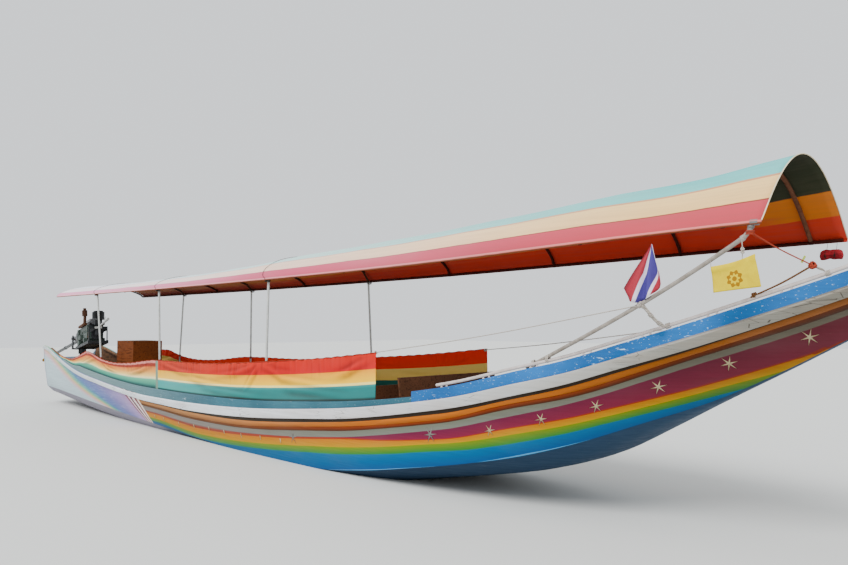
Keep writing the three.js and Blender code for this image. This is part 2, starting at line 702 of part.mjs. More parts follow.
function tricolourFlag() {
  const y = -EAVE_PIPE_Y + 1;
  const top = pipeZ(13300) - TUBE.hoop - GAP;
  const clear = (x) => strutZ(x) + 30;
  return plateXZ([
    [13292, top], [13308, top], [13350, clear(13350) + 150], [13385, clear(13385)],
    [13240, clear(13240)], [13110, clear(13110) + 15], [13085, clear(13110) + 60], [13200, 1985],
  ], y - FLAG_CLOTH / 2, y + FLAG_CLOTH / 2);
}

function yellowFlag() {
  const y = -strutY(13880);
  const under = (x) => strutZ(x) - TUBE.strut * Math.hypot(1, strutSlope) - GAP;
  return plateXZ([
    [13747, 1750], [14061, 1780], [14028, 1991], [13962, 1976], [13956, under(13956)],
    [13944, under(13944)], [13938, 1971], [13734, 1924],
  ], y - FLAG_CLOTH / 2, y + FLAG_CLOTH / 2);
}

// Swivel and drive. The drive is drawn along its own X axis, engine forward of the
// tilt axis and tail behind it, and is then tilted and turned to its parked position.

const POST = { radius: 48, collar: 72, plate: 170, plateThick: 14, top: 1010 };

function pivotPost() {
  const low = AFT_DECK.top + GAP;
  const pieces = [
    block([-POST.plate, -POST.plate, low], [POST.plate, POST.plate, low + POST.plateThick]),
    drum([0, 0, low + 4], [0, 0, POST.top], POST.radius),
    drum([0, 0, POST.top - 55], [0, 0, POST.top], POST.collar),
  ];
  const wing = [[20, low + 5], [POST.plate - 20, low + 5], [POST.radius + 8, POST.top - 120], [20, POST.top - 120]];
  pieces.push(plateXZ(wing, -5, 5), plateXZ(wing, -5, 5).rotateZ(Math.PI));
  pieces.push(plateXZ(wing, -5, 5).rotateZ(Math.PI / 2), plateXZ(wing, -5, 5).rotateZ(-Math.PI / 2));
  return shape(join(pieces)).translate(PIVOT.x, 0, 0);
}

const YOKE = { base: 1040, baseThick: 26, inner: 165, cheek: 22, halfLong: 60, top: 1310 };

function yoke() {
  const outer = YOKE.inner + YOKE.cheek;
  const cheekLine = [
    [-YOKE.halfLong, YOKE.base], [YOKE.halfLong, YOKE.base], [38, YOKE.top - 25], [18, YOKE.top],
    [-18, YOKE.top], [-38, YOKE.top - 25],
  ];
  const pieces = [
    drum([0, 0, POST.top + GAP], [0, 0, YOKE.base + 5], POST.collar),
    block([-YOKE.halfLong, -outer, YOKE.base], [YOKE.halfLong, outer, YOKE.base + YOKE.baseThick]),
    plateXZ(cheekLine, YOKE.inner, outer),
    plateXZ(cheekLine, -outer, -YOKE.inner),
  ];
  const bore = solid(drum([0, -400, PIVOT.z], [0, 400, PIVOT.z], TRUNNION.bore, 24));
  return shape(join(pieces).subtract(bore));
}

function bearingHousing() {
  const body = turned([[-260, 46], [-215, 70], [-70, 92], [70, 92], [190, 118], [330, 150], [360, 178], [478, 178]], 20);
  const pins = drum([0, -TRUNNION.outer, 0], [0, TRUNNION.outer, 0], TRUNNION.radius, 24);
  const boss = (side) => drum([0, side * 60, 0], [0, side * (YOKE.inner - 4), 0], 42);
  const oilFiller = drum([150, 0, 90], [150, 0, 148], 22, 10);
  return shape(join([body, pins, boss(1), boss(-1), oilFiller]));
}

const CRADLE = { railY: 148, railHalf: 22, low: -238, high: -186, from: 300, to: 1740 };

function engineCradle() {
  const pieces = [-1, 1].map((side) => block(
    [CRADLE.from, side * CRADLE.railY - CRADLE.railHalf, CRADLE.low],
    [CRADLE.to, side * CRADLE.railY + CRADLE.railHalf, CRADLE.high],
  ));
  for (const x of [CRADLE.from, 560, 1410, CRADLE.to - 40]) {
    pieces.push(block([x, -CRADLE.railY, CRADLE.low + 6], [x + 40, CRADLE.railY, CRADLE.high - 6]));
  }
  for (const side of [-1, 1]) {
    pieces.push(plateXZ([[1700, -200], [1740, -200], [1740, 60], [1715, 60]], side * 148 - 8, side * 148 + 8));
  }
  pieces.push(block([1712, -156, 20], [1740, 156, 60]));
  return shape(join(pieces));
}

// Cylinder block with its sump, flywheel case, side covers and mounting feet.
function engineBlock() {
  const bedZ = CRADLE.high + GAP;
  const pieces = [
    block([478 + GAP, -165, bedZ + 5], [620, 165, 110]),
    block([600, -135, -120], [1430, 135, 118]),
    block([640, -100, CRADLE.low + 12], [1380, 100, -110]),
    block([1425, -110, -130], [1470, 110, 112]),
  ];
  for (const side of [-1, 1]) {
    for (const x of [700, 1260]) {
      pieces.push(block([x, Math.min(side * 125, side * 178), bedZ], [x + 90, Math.max(side * 125, side * 178), -150 + 40]));
    }
    for (let i = 0; i < 4; i++) {
      pieces.push(drum([735 + i * 180, side * 130, 20], [735 + i * 180, side * 143, 20], 26, 10));
    }
  }
  pieces.push(drum([760, -130, -60], [760, -180, -60], 40, 12));
  pieces.push(block([820, -182, -100], [960, -130, -20]));
  return shape(join(pieces));
}

// Crank pulley, belt run, fan and alternator at the front of the block.
function frontDrive() {
  const face = 1470 + GAP;
  const pieces = [
    drum([face, 0, -70], [face + 34, 0, -70], 78, 20),
    drum([face, 0, 62], [face + 34, 0, 62], 52, 16),
    drum([face, 150, 30], [face + 34, 150, 30], 34, 14),
    drum([face - 150, 150 + 10, 30], [face + 10, 150 + 10, 30], 22, 12),
    drum([face + 20, 0, 62], [face + 96, 0, 62], 24, 12),
  ];
  const belt = [[-78, -70], [-52, 62], [0, 112], [150, 64], [184, 30], [150, -2], [60, -120], [0, -146], [-60, -120]];
  const ring = (x) => at(x, belt);
  pieces.push(loft([ring(face + 8), ring(face + 24)]));
  for (let i = 0; i < 6; i++) {
    const blade = block([face + 74, -26, 0], [face + 80, 26, 132]);
    blade.translate(-face - 77, 0, 0).rotateZ(0.45).translate(face + 77, 0, 0);
    pieces.push(blade.rotateX((i * Math.PI) / 3).translate(0, 0, 62));
  }
  return shape(join(pieces));
}

// Head, valve cover and filler cap.
function cylinderHead() {
  const line = (x, inset) => at(x, [
    [-118, 118 + GAP], [118, 118 + GAP], [118, 168], [92 - inset, 180], [80 - inset, 238 - inset],
    [-80 + inset, 238 - inset], [-92 + inset, 180], [-118, 168],
  ]);
  const pieces = [loft([line(620, 8), line(650, 0), line(1380, 0), line(1412, 8)])];
  pieces.push(drum([760, 0, 230], [760, 0, 256], 30, 12));
  for (let i = 0; i < 4; i++) {
    pieces.push(drum([735 + i * 180, 96, 174], [735 + i * 180, 96, 206], 12, 8));
  }
  return shape(join(pieces));
}

// Inlet manifold and round air cleaner, to port.
function airCleaner() {
  const pieces = [
    block([690, 118 + 12, 132], [1330, 178, 176]),
    drum([1000, 155, 150], [1000, 155, 262], 34, 12),
    drum([1000, 120, 258], [1000, 120, 400], 108, 20),
    drum([1000, 120, 396], [1000, 120, 420], 84, 20),
  ];
  for (let i = 0; i < 4; i++) {
    const x = 735 + i * 180;
    pieces.push(block([x - 24, 118 + GAP, 134], [x + 24, 140, 164]));
  }
  return shape(join(pieces));
}

// Exhaust manifold and its pipe, to starboard.
function exhaust() {
  const pieces = [bar([[700, -158, 150], [1180, -158, 150], [1300, -158, 168], [1330, -158, 300], [1330, -165, 430]], 27, 10)];
  for (let i = 0; i < 4; i++) {
    const x = 735 + i * 180;
    if (x < 1300) pieces.push(bar([[x, -118 - GAP, 148], [x, -160, 148]], 20, 8));
  }
  pieces.push(drum([1330, -161, 290], [1330, -164, 390], 46, 14));
  return shape(join(pieces));
}

// Tiller bar with its grip and throttle lever.
function tiller() {
  const start = CRADLE.to + GAP;
  const pieces = [
    block([start, -60, 22], [start + 12, 60, 58]),
    bar([[start + 6, 0, 40], [start + 160, 0, 52], [2560, 0, 84]], 17, 10),
    bar([[2545, 0, 83], [2680, 0, 90]], 21, 10),
    bar([[2380, 0, 90], [2380, 0, 128], [2440, 0, 150]], 6, 6),
  ];
  return shape(join(pieces));
}

function shaftTube() {
  const [from, to] = [TAIL.from - GAP, TAIL.to];
  const pieces = [
    bar([[from, 0, 0], [to, 0, 0]], TAIL.tube, 12),
    drum([to + 110, 0, 0], [to, 0, 0], 44, 14),
    drum([from, 0, 0], [from - 40, 0, 0], 48, 14),
    drum([-2300, 0, 0], [-2360, 0, 0], 40, 14),
    plateXZ([[to + 12, -20], [to + 330, -20], [to + 270, -90], [to + 60, -215], [to + 20, -215]], -4, 4),
  ];
  return shape(join(pieces));
}

function propeller() {
  const x = TAIL.prop;
  const pieces = [
    turned([[x - 70, 6], [x - 50, 22], [x + 40, 32], [x + 50, 32]], 14),
    drum([x + 45, 0, 0], [TAIL.to - GAP, 0, 0], 15, 10),
  ];
  const BLADE_COLUMNS = ['radius', 'chord', 'pitch', 'thick'];
  const table = [[22, 62, 62, 10], [70, 92, 46, 8], [120, 96, 34, 6], [158, 70, 27, 5], [TAIL.propRadius, 34, 25, 3]];
  for (let i = 0; i < TAIL.blades; i++) {
    const blade = loft(table.map((row) => {
      const [radius, chord, pitch, thick] = BLADE_COLUMNS.map((name, c) => row[c]);
      const corners = [[-chord / 2, 0], [0, -thick / 2], [chord / 2, 0], [0, thick / 2]];
      const turn = rad(90 - pitch);
      return corners.map(([u, v]) => new THREE.Vector3(
        x + u * Math.cos(turn) - v * Math.sin(turn),
        u * Math.sin(turn) + v * Math.cos(turn),
        radius,
      ));
    }));
    pieces.push(blade.rotateX((i * 2 * Math.PI) / TAIL.blades));
  }
  return shape(join(pieces));
}

// Assembly

function mesh(name, geometry, finish) {
  const piece = new THREE.Mesh(geometry, new THREE.MeshStandardMaterial(FINISH[finish]));
  piece.name = name;
  return piece;
}

// One mesh for each stretch between two butts, numbered from the stern.
function addBetween(butts, name, make, finish) {
  for (let i = 0; i + 1 < butts.length; i++) {
    boat.add(mesh(`${name}_${i + 1}`, make(butts[i], butts[i + 1]), finish));
  }
}

const SIDES = [['starboard', -1, starboardSide], ['port', 1, portSide]];

const boat = new THREE.Group();
boat.position.set(-LENGTH / 2, 0, WATERLINE);
addBetween(BUTTS.bottom, 'bottom_planking', bottomPlanking, 'plankBlue');
addBetween(BUTTS.keelson, 'ribs_and_keelson', ribsAndKeelson, 'brownWood');
addBetween(BUTTS.floor, 'floorboards', floorboards, 'brownWood');
boat.add(mesh('transom', transom(), 'plankStripes'));
boat.add(mesh('prow', prow(), 'plankStripes'));
boat.add(mesh('aft_deck', aftDeck(), 'brownWood'));
boat.add(mesh('foredeck', foredeck(), 'brownWood'));
boat.add(mesh('driver_box', driverBox(), 'orangeWood'));
boat.add(mesh('canopy_rack', canopyRack(), 'paleTube'));
boat.add(mesh('canopy', canopyCloth(), 'canopyCloth'));
boat.add(mesh('strut_starboard', strut(), 'paleTube'));
boat.add(mesh('tricolour_flag', tricolourFlag(), 'stripedFlag'));
boat.add(mesh('yellow_flag', yellowFlag(), 'flagCloth'));
boat.add(mesh('pivot_post', pivotPost(), 'darkSteel'));
for (const [label, side, half] of SIDES) {
  addBetween(BUTTS.side, `side_planking_${label}`, (from, to) => sidePlanking(side, from, to), 'plankStripes');
  boat.add(mesh(`inwale_${label}`, inwale(half), 'brownWood'));
  boat.add(mesh(`rub_strake_${label}`, strake(half), 'whitePaint'));
  boat.add(mesh(`coaming_${label}`, sheerPlank(side, COAMING.from, COAMING.change - GAP, coamingHeight), 'tealPaint'));
  boat.add(mesh(`washboard_${label}`, sheerPlank(side, COAMING.change, COAMING.to, () => COAMING.boardHeight), 'bluePaint'));
  boat.add(mesh(`handrail_${label}`, handrail(side), 'paleTube'));
  boat.add(mesh(`side_cloth_${label}`, sideCloth(side), 'sideCloth'));
}
LEGGED_FRAMES.forEach((x, i) => boat.add(mesh(`canopy_frame_${i + 1}`, leggedFrame(x), 'paleTube')));
for (let i = 0; i < BENCH.count; i++) {
  boat.add(mesh(`bench_${i + 1}`, bench(BENCH.first + i * BENCH.pitch), 'brownWood'));
}

const swivel = new THREE.Group();
swivel.position.set(PIVOT.x, 0, 0);
swivel.rotation.z = rad(REST.yaw);
swivel.add(mesh('yoke', yoke(), 'darkSteel'));
boat.add(swivel);

const drive = new THREE.Group();
drive.position.z = PIVOT.z;
drive.rotation.y = rad(REST.tilt);
swivel.add(drive);
drive.add(mesh('bearing_housing', bearingHousing(), 'alloy'));
drive.add(mesh('engine_cradle', engineCradle(), 'darkSteel'));
drive.add(mesh('engine_block', engineBlock(), 'engineIron'));
drive.add(mesh('front_drive', frontDrive(), 'darkSteel'));
drive.add(mesh('cylinder_head', cylinderHead(), 'alloy'));
drive.add(mesh('air_cleaner', airCleaner(), 'darkSteel'));
drive.add(mesh('exhaust', exhaust(), 'rust'));
drive.add(mesh('tiller', tiller(), 'paleTube'));
drive.add(mesh('shaft_tube', shaftTube(), 'darkSteel'));
drive.add(mesh('propeller', propeller(), 'bronze'));

const root = new THREE.Group();
root.add(boat);

export default root;
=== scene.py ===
import math

import bmesh
import bpy
from mathutils import Matrix, Vector, noise


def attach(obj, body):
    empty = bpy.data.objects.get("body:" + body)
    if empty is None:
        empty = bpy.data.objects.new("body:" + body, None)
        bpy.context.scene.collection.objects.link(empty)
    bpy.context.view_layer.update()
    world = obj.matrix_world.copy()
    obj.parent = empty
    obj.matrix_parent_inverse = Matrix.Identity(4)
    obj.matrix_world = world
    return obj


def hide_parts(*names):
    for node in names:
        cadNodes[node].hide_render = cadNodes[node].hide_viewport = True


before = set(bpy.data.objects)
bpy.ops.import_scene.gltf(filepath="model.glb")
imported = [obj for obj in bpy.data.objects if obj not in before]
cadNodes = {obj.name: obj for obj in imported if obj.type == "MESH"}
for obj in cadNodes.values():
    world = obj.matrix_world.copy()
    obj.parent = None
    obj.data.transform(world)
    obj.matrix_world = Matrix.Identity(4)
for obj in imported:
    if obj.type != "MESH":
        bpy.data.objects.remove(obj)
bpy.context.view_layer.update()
print("frame loaded,", len(cadNodes), "nodes")

# Lengths along the boat are written in metres from the transom and moved back when a piece is finished.
midship = 8.6
sides = (("starboard", -1), ("port", 1))

# camera, floor and light

view = {"place": (7.5, -5.72, 1.55), "turn": (93, 0, 46), "lens": 32.86, "sensor": 36, "far": 300}
studio = {"floorSize": 90, "floorColour": "#cfd0cd", "skyColour": "#eef2f6", "skyPower": 1.3, "softness": 30,
          "keyPower": 3.4, "keyTurn": (40, 0, 22), "fillPower": 0.7, "fillTurn": (62, 0, -75)}


def toLinear(text):
    value = text.lstrip("#")
    channels = [int(value[i:i + 2], 16) / 255 for i in (0, 2, 4)]
    return tuple(c / 12.92 if c <= 0.04045 else ((c + 0.055) / 1.055) ** 2.4 for c in channels) + (1.0,)


def setStudio():
    scene = bpy.context.scene
    camera = bpy.data.objects.new("viewCamera", bpy.data.cameras.new("viewCamera"))
    camera.location = view["place"]
    camera.rotation_euler = [math.radians(a) for a in view["turn"]]
    camera.data.lens = view["lens"]
    camera.data.sensor_width = view["sensor"]
    camera.data.clip_end = view["far"]
    scene.collection.objects.link(camera)
    scene.camera = camera

    world = bpy.data.worlds.new("paleSky")
    world.use_nodes = True
    background = world.node_tree.nodes["Background"]
    background.inputs["Color"].default_value = toLinear(studio["skyColour"])
    background.inputs["Strength"].default_value = studio["skyPower"]
    scene.world = world

    for name in ("key", "fill"):
        lamp = bpy.data.lights.new(name + "Light", "SUN")
        lamp.energy = studio[name + "Power"]
        lamp.angle = math.radians(studio["softness"])
        holder = bpy.data.objects.new(name + "Light", lamp)
        holder.rotation_euler = [math.radians(a) for a in studio[name + "Turn"]]
        scene.collection.objects.link(holder)


setStudio()
print("camera and light set")

# material helpers, which build on the material that startMaterial began last

current = {}
even = (1, 1, 1)


class Field:
    # a value in the node tree that takes plain arithmetic
    def __init__(self, socket):
        self.socket = socket

    def __add__(self, other):
        return calc("ADD", self, other)

    def __sub__(self, other):
        return calc("SUBTRACT", self, other)

    def __mul__(self, other):
        return calc("MULTIPLY", self, other)

    def __truediv__(self, other):
        return calc("DIVIDE", self, other)

    def __gt__(self, other):
        return calc("GREATER_THAN", self, other)

    def __lt__(self, other):
        return calc("LESS_THAN", self, other)

    def stretch(self, low, high, outLow=0.0, outHigh=1.0):
        return addNode("ShaderNodeMapRange", "Result", {
            "Value": self, "From Min": low, "From Max": high, "To Min": outLow, "To Max": outHigh,
        })


def startMaterial(name, roughness=0.5, metallic=0.0):
    # old paint and cloth have little shine, so their colours stay deep at a glancing view
    material = bpy.data.materials.new(name)
    material.use_nodes = True
    shader = material.node_tree.nodes["Principled BSDF"]
    shader.inputs["Roughness"].default_value = roughness
    shader.inputs["Metallic"].default_value = metallic
    shader.inputs["Specular IOR Level"].default_value = 0.5 if metallic > 0.3 else 0.1
    current["material"] = material


def placeNode(kind, inputs, **settings):
    tree = current["material"].node_tree
    node = tree.nodes.new(kind)
    for key, value in settings.items():
        setattr(node, key, value)
    for key, value in inputs.items():
        if isinstance(value, Field):
            tree.links.new(value.socket, node.inputs[key])
        else:
            node.inputs[key].default_value = value
    return node


def addNode(kind, output, inputs, **settings):
    return Field(placeNode(kind, inputs, **settings).outputs[output])


def fromObject(scale=even):
    place = addNode("ShaderNodeTexCoord", "Object", {})
    return addNode("ShaderNodeMapping", "Vector", {"Vector": place, "Scale": scale})


def fromAttribute(name):
    return addNode("ShaderNodeAttribute", "Fac", {}, attribute_name=name)


def axisOf(name, vector=None):
    return addNode("ShaderNodeSeparateXYZ", name, {"Vector": vector or fromObject()})


def grain(vector, scale, detail=3.0, roughness=0.55, distortion=0.0):
    # noise over a vector, or over the object's own place scaled by three numbers
    vector = vector if isinstance(vector, Field) else fromObject(vector)
    return addNode("ShaderNodeTexNoise", "Fac", {
        "Vector": vector, "Scale": scale, "Detail": detail, "Roughness": roughness, "Distortion": distortion,
    })


def cells(scale, size, randomness, feature):
    return addNode("ShaderNodeTexVoronoi", "Distance",
                   {"Vector": fromObject(scale), "Scale": size, "Randomness": randomness}, feature=feature)


def calc(operation, first, second=0.0):
    return addNode("ShaderNodeMath", 0, {0: first, 1: second}, operation=operation)


def stopsOf(row, whole=1.0):
    # places along a ramp, as parts of the whole, with their colours
    places, colours = row
    return [(place / whole, colour) for place, colour in zip(places, colours.split())]


def ramp(factor, stops):
    node = placeNode("ShaderNodeValToRGB", {"Fac": factor})
    elements = node.color_ramp.elements
    while len(elements) < len(stops):
        elements.new(0.5)
    for element, (position, colour) in zip(elements, stops):
        element.position = position
        element.color = toLinear(colour)
    return Field(node.outputs["Color"])


def mix(factor, first, second):
    first, second = [toLinear(c) if isinstance(c, str) else c for c in (first, second)]
    return addNode("ShaderNodeMix", 2, {0: factor, 6: first, 7: second}, data_type="RGBA")


def soiled(colour, mask, low, high, most, dirt, depth):
    # the colour with some dirt over it where the mask is high
    return mix(mask.stretch(low, high, 0.0, most), colour, mix(depth, colour, dirt))


def finishPaint(colour, roughness=None, height=None, bumpDepth=0.002, bumpPower=0.5):
    material = current["material"]
    tree = material.node_tree
    shader = tree.nodes["Principled BSDF"]
    if isinstance(colour, str):
        shader.inputs["Base Color"].default_value = toLinear(colour)
    else:
        tree.links.new(colour.socket, shader.inputs["Base Color"])
    if roughness is not None:
        tree.links.new(roughness.socket, shader.inputs["Roughness"])
    if height is not None:
        bump = addNode("ShaderNodeBump", "Normal", {"Height": height, "Distance": bumpDepth, "Strength": bumpPower})
        tree.links.new(bump.socket, shader.inputs["Normal"])
    return material


# mesh helpers


def curveThrough(rows, columnIndex=1):
    # a smooth line through one column of a table, with no overshoot between its rows
    xs = [row[0] for row in rows]
    ys = [row[columnIndex] for row in rows]
    gaps = [b - a for a, b in zip(xs, xs[1:])]
    rises = [(b - a) / gap for a, b, gap in zip(ys, ys[1:], gaps)]
    slopes = [rises[0]]
    for k in range(1, len(xs) - 1):
        before, after = rises[k - 1], rises[k]
        slope = 0.0 if before * after <= 0 else (before * gaps[k] + after * gaps[k - 1]) / (gaps[k - 1] + gaps[k])
        limit = 3 * min(abs(before), abs(after))
        slopes.append(max(-limit, min(limit, slope)))
    slopes.append(rises[-1])

    def readAt(x):
        if x <= xs[0]:
            return ys[0]
        if x >= xs[-1]:
            return ys[-1]
        k = next(i for i in range(len(gaps)) if x <= xs[i + 1])
        t = (x - xs[k]) / gaps[k]
        return ((1 + 2 * t) * (1 - t) ** 2 * ys[k] + t * (1 - t) ** 2 * gaps[k] * slopes[k]
                + t * t * (3 - 2 * t) * ys[k + 1] + t * t * (t - 1) * gaps[k] * slopes[k + 1])

    return readAt


def stepsFrom(start, end, step):
    count = max(1, round((end - start) / step))
    return [start + (end - start) * i / count for i in range(count + 1)]


def blendAt(value, low, high):
    t = max(0.0, min(1.0, (value - low) / (high - low)))
    return t * t * (3 - 2 * t)


def layersFor(bm, names):
    return {name: bm.verts.layers.float.new(name) for name in names}


def writeLayers(grid, values, layers):
    # gives each vertex the numbers worked out for it, one for each layer
    for row, verts in zip(values, grid):
        for numbers, vert in zip(row, verts):
            for name, number in zip(layers, numbers):
                vert[layers[name]] = number


def sweepRings(bm, rings, closed=True):
    # the first ring is drawn, then its edges are pulled from ring to ring; closed rings get a face at each end
    row = [bm.verts.new(p) for p in rings[0]]
    edges = [bm.edges.new(pair) for pair in zip(row, row[1:])]
    if closed:
        edges.append(bm.edges.new((row[-1], row[0])))
    firstEdges = list(edges)
    grid = [row]
    for ring in rings[1:]:
        pulled = bmesh.ops.extrude_edge_only(bm, edges=edges)["geom"]
        fresh = {v for v in pulled if isinstance(v, bmesh.types.BMVert)}
        row = [next(e.other_vert(v) for e in v.link_edges if e.other_vert(v) in fresh) for v in row]
        for vert, place in zip(row, ring):
            vert.co = place
        edges = [bm.edges.get(pair) for pair in zip(row, row[1:])]
        if closed:
            edges.append(bm.edges.get((row[-1], row[0])))
        grid.append(row)
    if closed:
        bmesh.ops.contextual_create(bm, geom=firstEdges)
        bmesh.ops.contextual_create(bm, geom=edges)
    return grid


def drawTube(bm, path, radius, segments=12, layers=None):
    # a round tube along a row of points, with its length and turn in the layers if there are any
    points = [Vector(p) for p in path]
    legs = [(b - a).normalized() for a, b in zip(points, points[1:])]
    upward = Vector((0, 1, 0)) if abs(legs[0].z) > 0.9 else Vector((0, 0, 1))
    across = (upward - legs[0] * upward.dot(legs[0])).normalized()
    rings, along, lengths = [], 0.0, []
    for i, point in enumerate(points):
        before, after = legs[max(i - 1, 0)], legs[min(i, len(legs) - 1)]
        facing = (before + after).normalized()
        across = (across - facing * across.dot(facing)).normalized()
        other = facing.cross(across)
        if i:
            along += (point - points[i - 1]).length
        lengths.append(along)
        stretchOut = 1 / max(0.5, facing.dot(before))
        bend = after - before
        bend = bend.normalized() if bend.length > 1e-6 else across
        ring = []
        for k in range(segments):
            angle = 2 * math.pi * k / segments
            spoke = across * math.cos(angle) + other * math.sin(angle)
            spoke += bend * (spoke.dot(bend) * (stretchOut - 1))
            ring.append(point + spoke * radius)
        rings.append(ring)
    grid = sweepRings(bm, rings)
    if layers:
        writeLayers(grid, [[(length, k / segments) for k in range(segments)] for length in lengths], layers)


def smoothPath(points, perLeg=6):
    # a flowing line through a few points
    knots = [Vector(p) for p in points]
    knots = [knots[0] * 2 - knots[1]] + knots + [knots[-1] * 2 - knots[-2]]
    out = []
    for a, b, c, d in zip(knots, knots[1:], knots[2:], knots[3:]):
        for k in range(perLeg):
            t = k / perLeg
            bend, twist = 2 * a - 5 * b + 4 * c - d, 3 * b - a - 3 * c + d
            out.append(0.5 * ((2 * b) + (c - a) * t + bend * t * t + twist * t ** 3))
    out.append(knots[-2])
    return out


def addPiece(name, bm, materials, replaced=(), sharp=35, outward=True):
    if outward:
        bmesh.ops.recalc_face_normals(bm, faces=bm.faces)
    bmesh.ops.translate(bm, verts=bm.verts, vec=(-midship, 0, 0))
    mesh = bpy.data.meshes.new(name)
    bm.to_mesh(mesh)
    bm.free()
    for material in materials:
        mesh.materials.append(material)
    mesh.polygons.foreach_set("use_smooth", [True] * len(mesh.polygons))
    mesh.set_sharp_from_angle(angle=math.radians(sharp))
    piece = bpy.data.objects.new(name, mesh)
    bpy.context.scene.collection.objects.link(piece)
    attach(piece, "boat")
    if replaced:
        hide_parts(*replaced)
    return piece


def giveThickness(piece, thickness, offset, insideShift=0):
    wall = piece.modifiers.new("wall", "SOLIDIFY")
    wall.thickness = thickness
    wall.offset = offset
    wall.use_even_offset = False
    wall.material_offset = insideShift


def faceOutward(bm, axis, sign):
    # turns an open sheet over if most of it faces the wrong way
    bm.normal_update()
    if sum(face.normal[axis] for face in bm.faces) * sign < 0:
        bmesh.ops.reverse_faces(bm, faces=bm.faces)


def sheetArea(bm):
    return sum(face.calc_area() for face in bm.faces)


def addCone(bm, low, high, depth, centre, segments, turn=Matrix()):
    bmesh.ops.create_cone(bm, cap_ends=True, segments=segments, radius1=low, radius2=high, depth=depth,
                          matrix=Matrix.Translation(centre) @ turn)


# hull form: x, keel, chine half width and height, sheer half width and height

hullRows = [
    (0, .160, .420, .330, .516, 1.112), (.28, .138, .434, .319, .540, 1.088), (.5, .120, .445, .310, .555, 1.043),
    (1.0, .080, .470, .288, .585, .930),
    (2.1, 0, .530, .235, .655, .727), (3.3, -.080, .580, .175, .715, .614), (4.25, -.130, .612, .130, .745, .542),
    (5.2, -.165, .642, .085, .770, .497), (6.05, -.184, .669, .050, .797, .496), (6.8, -.200, .692, .020, .820, .506),
    (8.0, -.205, .720, -.025, .848, .548),
    (9.2, -.180, .738, -.005, .853, .632), (10.0, -.110, .742, .075, .850, .707), (10.8, .045, .722, .205, .838, .812),
    (11.4, .155, .688, .315, .815, .910), (12.0, .285, .624, .450, .770, 1.048), (12.5, .460, .535, .603, .715, 1.162),
    (12.95, .700, .405, .775, .652, 1.296), (13.4, .935, .130, .960, .588, 1.432), (13.9, 1.200, .045, 1.208, .500, 1.596),
    (14.5, 1.528, .034, 1.533, .372, 1.806), (15.2, 1.868, .030, 1.872, .240, 2.068), (15.9, 2.185, .028, 2.189, .140, 2.352),
    (16.4, 2.424, .026, 2.428, .086, 2.560), (16.85, 2.654, .022, 2.658, .052, 2.770), (17.2, 2.858, .016, 2.862, .030, 2.960),
]
keelAt, chineOut, chineAt, sheerOut, sheerAt = [curveThrough(hullRows, k) for k in range(1, 6)]
hull = {
    "from": 0.0, "to": 15.9, "step": 0.1, "wall": 0.028, "prowTo": 17.2, "prowStep": 0.05, "crown": 0.008,
    "prowGap": 0.0005, "crownParts": (0.66, 0.33, 0.0, -0.33, -0.66), "bulge": 0.012, "fullBulgeAt": 0.4, "keelBand": 12.0,
    "bottomParts": (.93, .84, .72, .58, .42, .25, .1), "bottomShape": [(0, 0), (.4, .06), (.75, .38), (1, 1)],
}
bottomShape = curveThrough(hull["bottomShape"])

# painted bands: how far each runs down the side, from the sheer
bands = {
    # the black band lies right under the strake: partly dark paint, partly painted shadow of the strake above it
    "names": ["strake", "black", "orange", "brown", "grey", "magenta", "red", "yellow", "green", "blue", "line"],
    "rows": [
        (2.0, .060, .010, .040, .026, .060, .005, .019, .074, .051, .100, .010),
        (5.3, .076, .014, .046, .030, .060, .005, .019, .074, .051, .100, .010),
        (6.7, .100, .027, .063, .028, .064, .014, .029, .081, .061, .140, .010),
        (8.0, .104, .043, .061, .031, .056, .006, .025, .082, .064, .200, .012),
        (9.05, .101, .040, .050, .039, .067, .003, .019, .079, .069, .190, .014),
        (9.8, .105, .033, .047, .042, .063, .005, .016, .084, .074, .160, .016),
        (10.4, .100, .034, .050, .034, .061, .045, .010, .060, .072, .146, .018),
        (11.2, .093, .036, .054, .027, .059, .082, .006, .039, .069, .135, .019),
        (11.85, .095, .027, .035, .037, .062, .092, .006, .053, .076, .107, .017),
        (12.75, .081, .026, .048, .037, .041, .113, .008, .049, .054, .089, .012),
        (13.45, .068, .019, .032, .029, .042, .149, .007, .042, .050, .065, .007),
        (14.1, .059, .011, .037, .032, .036, .148, .006, .055, .050, .050, .005),
        (15.0, .042, .008, .027, .024, .027, .090, .004, .034, .030, .030, .004),
        (15.9, .034, .007, .022, .020, .022, .066, .003, .022, .020, .020, .003),
        (17.2, .020, .004, .014, .013, .014, .030, .002, .012, .010, .010, .002),
    ],
    "perBand": (0.0, 0.1, 0.5, 0.9),     # rows of vertices within each band
    "relief": [0.0, -0.001, 0.006, 0.003, 0.0, 0.0, 0.0, 0.0, 0.0, 0.0, 0.0, 0.0],
    "reliefFrom": (4.3, 4.7), "reliefTo": (16.2, 17.0),
    "deep": 11.999, "deepBand": 0.2, "leastStep": 0.0012,
    "slant": (0.09, 0.42, 9.85, 1.85),     # the stern's slanting bands: first drop, last drop, reach and turn
}
bandDepth = [curveThrough(bands["rows"], k + 1) for k in range(len(bands["names"]))]


def bandEdges(x):
    # the bands' lower edges, as drops from the sheer
    edges = [0.0]
    for depth in bandDepth:
        edges.append(edges[-1] + depth(x))
    return edges


def bandFromDrop(edges, drop):
    for k in range(len(edges) - 1):
        if drop <= edges[k + 1]:
            return k + (drop - edges[k]) / (edges[k + 1] - edges[k])
    return min(len(edges) - 1 + (drop - edges[-1]) / bands["deepBand"], bands["deep"])


